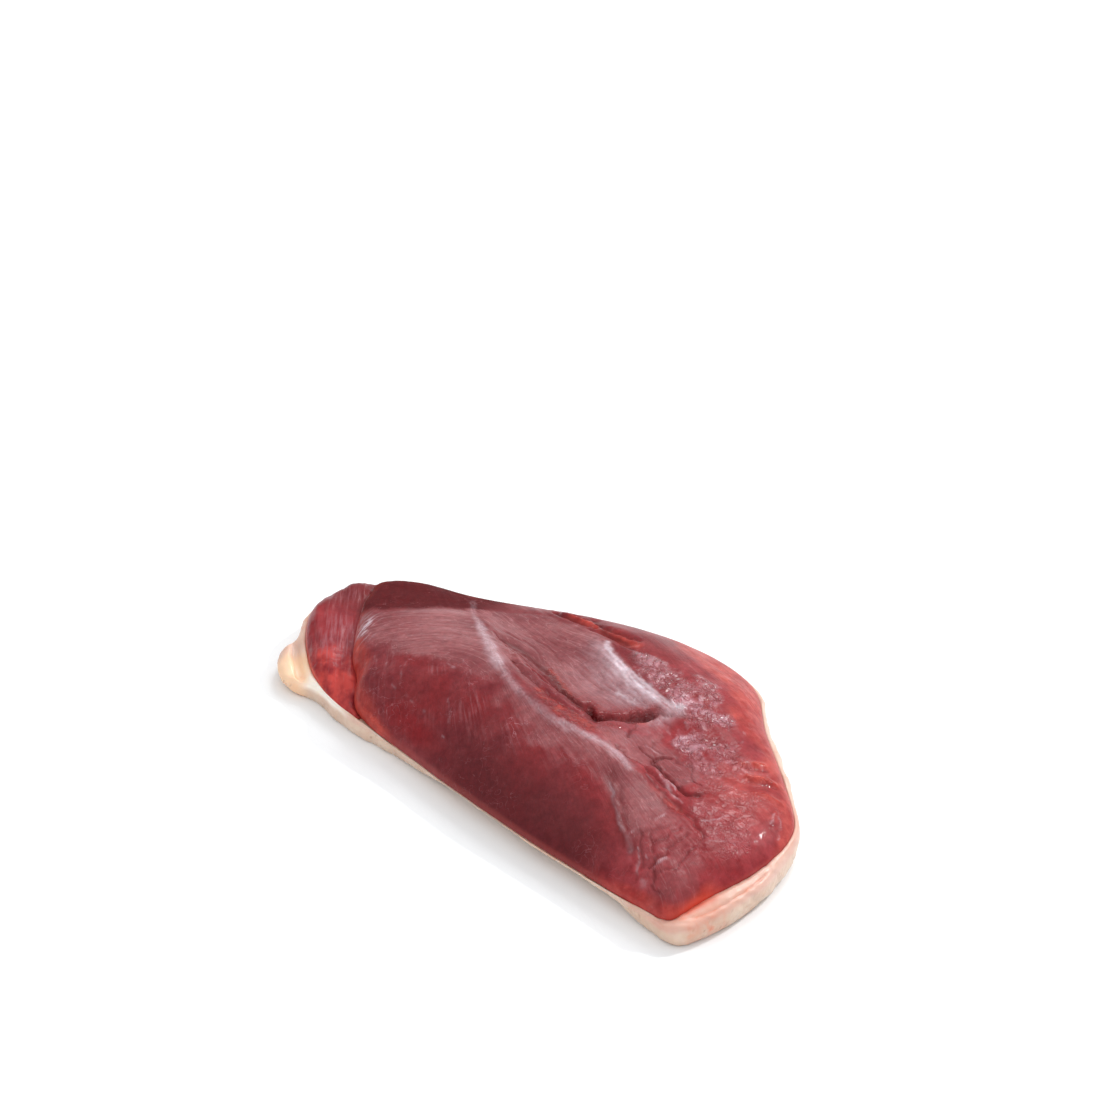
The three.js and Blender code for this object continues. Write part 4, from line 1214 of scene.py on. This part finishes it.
def lay_over(tree, base, layers):
    """Layers of colour over base. Each is its colour, or what chooses between two with the two, and
    then the factors whose product is how much it covers."""
    for colour, *factors in layers:
        if isinstance(colour, tuple):
            chooser, first, second = colour
            colour = add(tree, "Mix RGBA", product(tree, chooser), first, second)
        base = add(tree, "Mix RGBA", product(tree, *factors), base, colour)
    return base


def bumps(tree, strength, depth, *terms):
    """A normal from the sum of the terms, each a list of factors. depth is in millimetres."""
    height = 0.0
    for factors in terms:
        height = add(tree, "Math ADD", height, product(tree, *factors))
    return add(tree, "Bump", strength, depth * MM, Height=height)


# %% [markdown]
# ## Raw breast meat
# Fresh duck muscle is water held in fine red fibres, with a silvery skin over much of it and a wet
# film over all. Light goes a millimetre or two in and comes back red, so the shader scatters it
# below the surface. A plain red gloss would look like plastic. The masks choose between wine, red
# and orange, then the silvery skin veils them in streaks along the fibres, and a clear coat
# stands for the wet film.

# %% What all wet meat shares
# Water's index of refraction, red scattering, and the clear wet film.
WET_MEAT = {
    "IOR": 1.38, "Specular IOR Level": 0.14,
    "Subsurface Weight": 0.18, "Subsurface Radius": (1.0, 0.22, 0.15), "Subsurface Scale": 1.5 * MM,
    "Coat Weight": 0.18, "Coat Roughness": 0.06, "Coat IOR": 1.4,
}

print("light goes", WET_MEAT["Subsurface Scale"] / MM, "mm into the meat")

# %% Patterns of the breast meat
# Sizes are those of the real thing: bundles 1 mm across, fibres 0.25 mm, blotches 6 mm. The pores
# of real fibres are finer than the picture can show, so they are drawn 1.25 mm wide.
material, tree = new_material("raw_breast_meat")
mask = masks_of(tree, meat_masks)
place = places_of(tree)
slope, lobe = (add(tree, "Attribute", out="Vector", attribute_name=name) for name in fibre_places)
noise = noises(tree, {
    "mottle": (place, 5.882, 5, 0.65), "cloud": (place, 18.18, 2), "freckle": (place, 1.923, 4, 0.7),
    "crumple": (place, 3.125, 3, 0.6, 0.5), "net": (place, 4.762, 2, 0.5, 1.2),
    "net area": (place, 11.11, 2), "speck": (place, 1.3158, 2, 0.6), "speck area": (place, 7.692, 2),
    "pore": (place, 1.25),
    "slope streak": (slope, (10, 0.8333), 4, 0.55), "lobe streak": (lobe, (11.11, 1), 4, 0.55),
    "slope hair": (slope, (4, 0.25), 3, 0.55), "lobe hair": (lobe, (3.333, 0.25), 3, 0.55),
    "slope wave": (slope, (14.286, 1.4286), 2, 0.5, 0.4), "lobe wave": (lobe, (16.667, 1.6667), 2, 0.5, 0.4),
})
streak, hair, wave = (add(tree, "Mix FLOAT", mask["on_lobe"], noise["slope " + kind], noise["lobe " + kind])
                      for kind in ("streak", "hair", "wave"))
mottle, cloud = noise["mottle"], noise["cloud"]
# Thin lines run where a noise crosses a middle value, so these say how far it is from there.
pale_line, dark_line, crack_line, net_line = (
    add(tree, "Math ABSOLUTE", add(tree, "Math SUBTRACT", pattern, middle))
    for pattern, middle in ((wave, 0.5), (wave, 0.43), (noise["crumple"], 0.5), (noise["net"], 0.5)))
veil_pattern = add(tree, "Mix FLOAT", 0.35, mottle, streak)
veil_tone = add(tree, "Mix FLOAT", 0.3, cloud, streak)
crack = product(tree, (crack_line, 0.004, 0.06))
print("masks", len(mask), "noises", len(noise))

# %% Colours of the breast meat
WINE_RED = ((mottle, 0.35, 0.65), "#71232a", "#873539")
BRIGHT_RED = ((mottle, 0.4, 0.6), "#a33836", "#ba5049")
ORANGE_RED = ((mottle, 0.4, 0.6), "#a52f26", "#c4493a")
SILVERY_VEIL = ((veil_tone, 0.42, 0.58), "#814246", "#985c5f")
SCRAP_PINK = ((cloud, 0.4, 0.6), "#ac6b76", "#c694a0")
FRECKLE_STRENGTH = 0.32

base = add(tree, "Mix RGBA", product(tree, (mottle, 0.35, 0.65)), "#862a30", "#a23f44")
base = lay_over(tree, base, [
    (WINE_RED, mask["wine"]),
    ("#8c2526", (cloud, 0.45, 0.65), 0.25),
    ("#861f24", mask["crimson"]),
    # Painted shade on the near slope.
    ("#51191e", mask["shade"], 0.7),
    (BRIGHT_RED, mask["bright"]),
    (ORANGE_RED, mask["orange"]),
    # Painted shadow over the far side and beyond the crest, over darker red meat.
    ("#4a0b0f", mask["deep"], 0.9),
    # The silvery skin, with pale and dark lines along the fibres, and wisps of it on bare meat.
    (SILVERY_VEIL, mask["film"], (veil_pattern, 0.38, 0.56, 0.7, 1)),
    ("#c99a9c", mask["film"], (pale_line, 0, 0.014, 1, 0), 0.3),
    ("#6c2429", mask["film"], (dark_line, 0, 0.014, 1, 0), 0.4),
    ("#95565b", mask["wisp"], (streak, 0.47, 0.66, 0, 0.8), (mottle, 0.4, 0.56, 0.3, 1)),
    # Scraps of torn skin: a pale wash, crumpled along red cracks, with a few white specks that are painted
    # glints.
    (SCRAP_PINK, mask["torn"], (crack, 0, 1, 0.3, 1), (mottle, 0.40, 0.52, 0.25, 1), 0.9),
    ("#ecd3d6", mask["broken"], (noise["speck"], 0.62, 0.68), (noise["speck area"], 0.48, 0.6),
     (mask["torn"], 0, 0.4, 0.45, 1), 0.7),
    # Pale tissue, with painted sheen and painted highlights.
    ("#dfcdd6", mask["silver"], (streak, 0.38, 0.6, 0.85, 1.1)),
    # A net of hair-fine pale lines that cross in all directions.
    ("#b98087", (net_line, 0, 0.012, 1, 0), (noise["net area"], 0.47, 0.6), (mask["wisp"], 0, 1, 0.22, 0.7)),
])
freckles = add(tree, "Mix RGBA", product(tree, (noise["freckle"], 0.36, 0.64)), "#8c8080", "#ffffff")
base = add(tree, "Mix RGBA", FRECKLE_STRENGTH, base, freckles, blend_type="MULTIPLY")
base = lay_over(tree, base, [
    # Painted shade in the creases, over darker red meat.
    ("#560d10", mask["crease"], 0.8),
    # Painted light on the muscle's lowest edge.
    ("#bb4a40", mask["red_lip"], 0.6),
    # Painted glow of the thin tip.
    ("#d24530", mask["thin_edge"], 0.7),
])

# %% Wetness and fine relief of the breast meat
# Torn meat is wetter than whole meat, so it is smoother and has more coat. The far slope is dull.
WHOLE_ROUGHNESS = 0.42
TORN_ROUGHNESS = 0.25
DULL_ROUGHNESS = 0.8

roughness = add(tree, "Mix FLOAT", mask["broken"], WHOLE_ROUGHNESS, TORN_ROUGHNESS)
roughness = add(tree, "Mix FLOAT", mask["deep"], roughness, DULL_ROUGHNESS)
wet_film = product(tree, (mask["broken"], 0, 1, 0.15, 0.9), (mask["deep"], 0, 1, 1, 0))
surface = bumps(tree, 0.6, 0.3, [streak, 0.5], [hair, 0.15], [crack, mask["broken"], 1.4],
                [noise["pore"], (mask["broken"], 0, 1, 0.25, 1.4)])
coat_piece(breast_meat, material, **{**WET_MEAT, "Base Color": base, "Roughness": roughness,
                                     "Coat Weight": wet_film, "Normal": surface, "Coat Normal": surface})

# %% [markdown]
# ## Raw end meat
# The small muscle is cut across at the end, so it is brighter than the large one, with fine streaks
# and a mauve patch of silvery skin in its middle. It could share the large one's material, but it
# has its own fibres and colours, and a short stack of layers is easier to match.

# %% End meat material
material, tree = new_material("raw_end_meat")
mask = masks_of(tree, end_masks)
place = places_of(tree)
fibre = add(tree, "Attribute", out="Vector", attribute_name="fibre")
noise = noises(tree, {"streak": (fibre, (8.333, 0.7692), 4, 0.6), "mottle": (place, 6.25, 4, 0.6),
                      "pore": (place, 0.909)})
streak, mottle = noise["streak"], noise["mottle"]
base = add(tree, "Mix RGBA", product(tree, (mottle, 0.35, 0.65)), "#7a1f27", "#922d31")
base = lay_over(tree, base, [
    (((mottle, 0.38, 0.6), "#84232a", "#bd443f"), mask["bright"]),
    # Painted shadow on the far side, over darker red meat.
    ("#5e1418", mask["deep"], 0.75),
    ("#96555c", mask["film"], (streak, 0.42, 0.58, 0.1, 1)),
    ("#a8686b", (streak, 0.56, 0.7), 0.3),
    # Painted shade in the creases.
    ("#7a1a1e", mask["crease"], 0.4),
    # Painted light on the cut rim.
    ("#cf5a4c", mask["rim"], 0.85),
])
surface = bumps(tree, 0.5, 0.25, [streak], [noise["pore"], 0.5])
coat_piece(end_meat, material, **{**WET_MEAT, "Base Color": base, "Roughness": 0.4, "Normal": surface,
                                  "Coat Normal": surface})

# %% [markdown]
# ## Duck skin and fat
# Cut fat is creamy and a little see-through, pink where blood has touched it. The outer skin is
# paler and drier, with a follicle every two millimetres. Both scatter light a long way, most of all
# the red and yellow, which gives them their warm softness. Follicles could be modelled one by one,
# but they are so shallow that cells of a pattern on the unrolled skin do as well.

# %% Skin and fat material
FOLLICLE_SPACING = 2
material, tree = new_material("duck_skin_and_fat")
mask = masks_of(tree, skin_masks)
place = places_of(tree)
flat_skin = add(tree, "Attribute", out="Vector", attribute_name="unrolled")
cells = add(tree, "VectorMath MULTIPLY", flat_skin, (1 / FOLLICLE_SPACING, 1 / FOLLICLE_SPACING, 0))
follicle = add(tree, "TexVoronoi", cells, Scale=1, Randomness=0.7)
noise = noises(tree, {"mottle": (place, 8.333, 4, 0.6), "patchy": (place, 3.846, 3, 0.6)})
mottle, patchy = noise["mottle"], noise["patchy"]
outer = mask["outer_skin"]
base = add(tree, "Mix RGBA", product(tree, (mottle, 0.35, 0.65)), "#cfa694", "#dcbfae")
base = lay_over(tree, base, [
    ("#f6eadd", mask["white_fat"]),
    (((mottle, 0.35, 0.65), "#cfae98", "#dcc3af"), outer),
    ("#cf9585", mask["pink_ledge"], 0.55),
    ("#d98468", mask["blush"], (patchy, 0.42, 0.6, 0.15, 1)),
    ("#f8cda4", mask["knob"], 0.75),
    ("#d86048", mask["glow"], 0.9),
    ("#a97a62", (follicle, 0.08, 0.27, 0.5, 0), outer),
])
surface = bumps(tree, 0.6, 0.35, [(follicle, 0, 0.3), outer, 0.9], [(follicle, 0.2, 0.6, 1, 0), outer, 0.9],
                [patchy, 0.8])
coat_piece(skin_piece, material, **{
    "Base Color": base, "Roughness": 0.42, "Normal": surface,
    "Subsurface Weight": 0.25, "Subsurface Radius": (1.0, 0.55, 0.35), "Subsurface Scale": 2 * MM,
    "Coat Weight": 0.15, "Coat Roughness": 0.25,
})

# %% [markdown]
# ## Sizes
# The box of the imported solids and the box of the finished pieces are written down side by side, so
# that anyone can see at a glance that the finished part is no larger than the solids.

# %% Sizes and finish
sizes = {"cad": CAD_BOX, "visual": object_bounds()}
print(sizes)
{key: [[float(value) for value in corner] for corner in box] for key, box in sizes.items()}
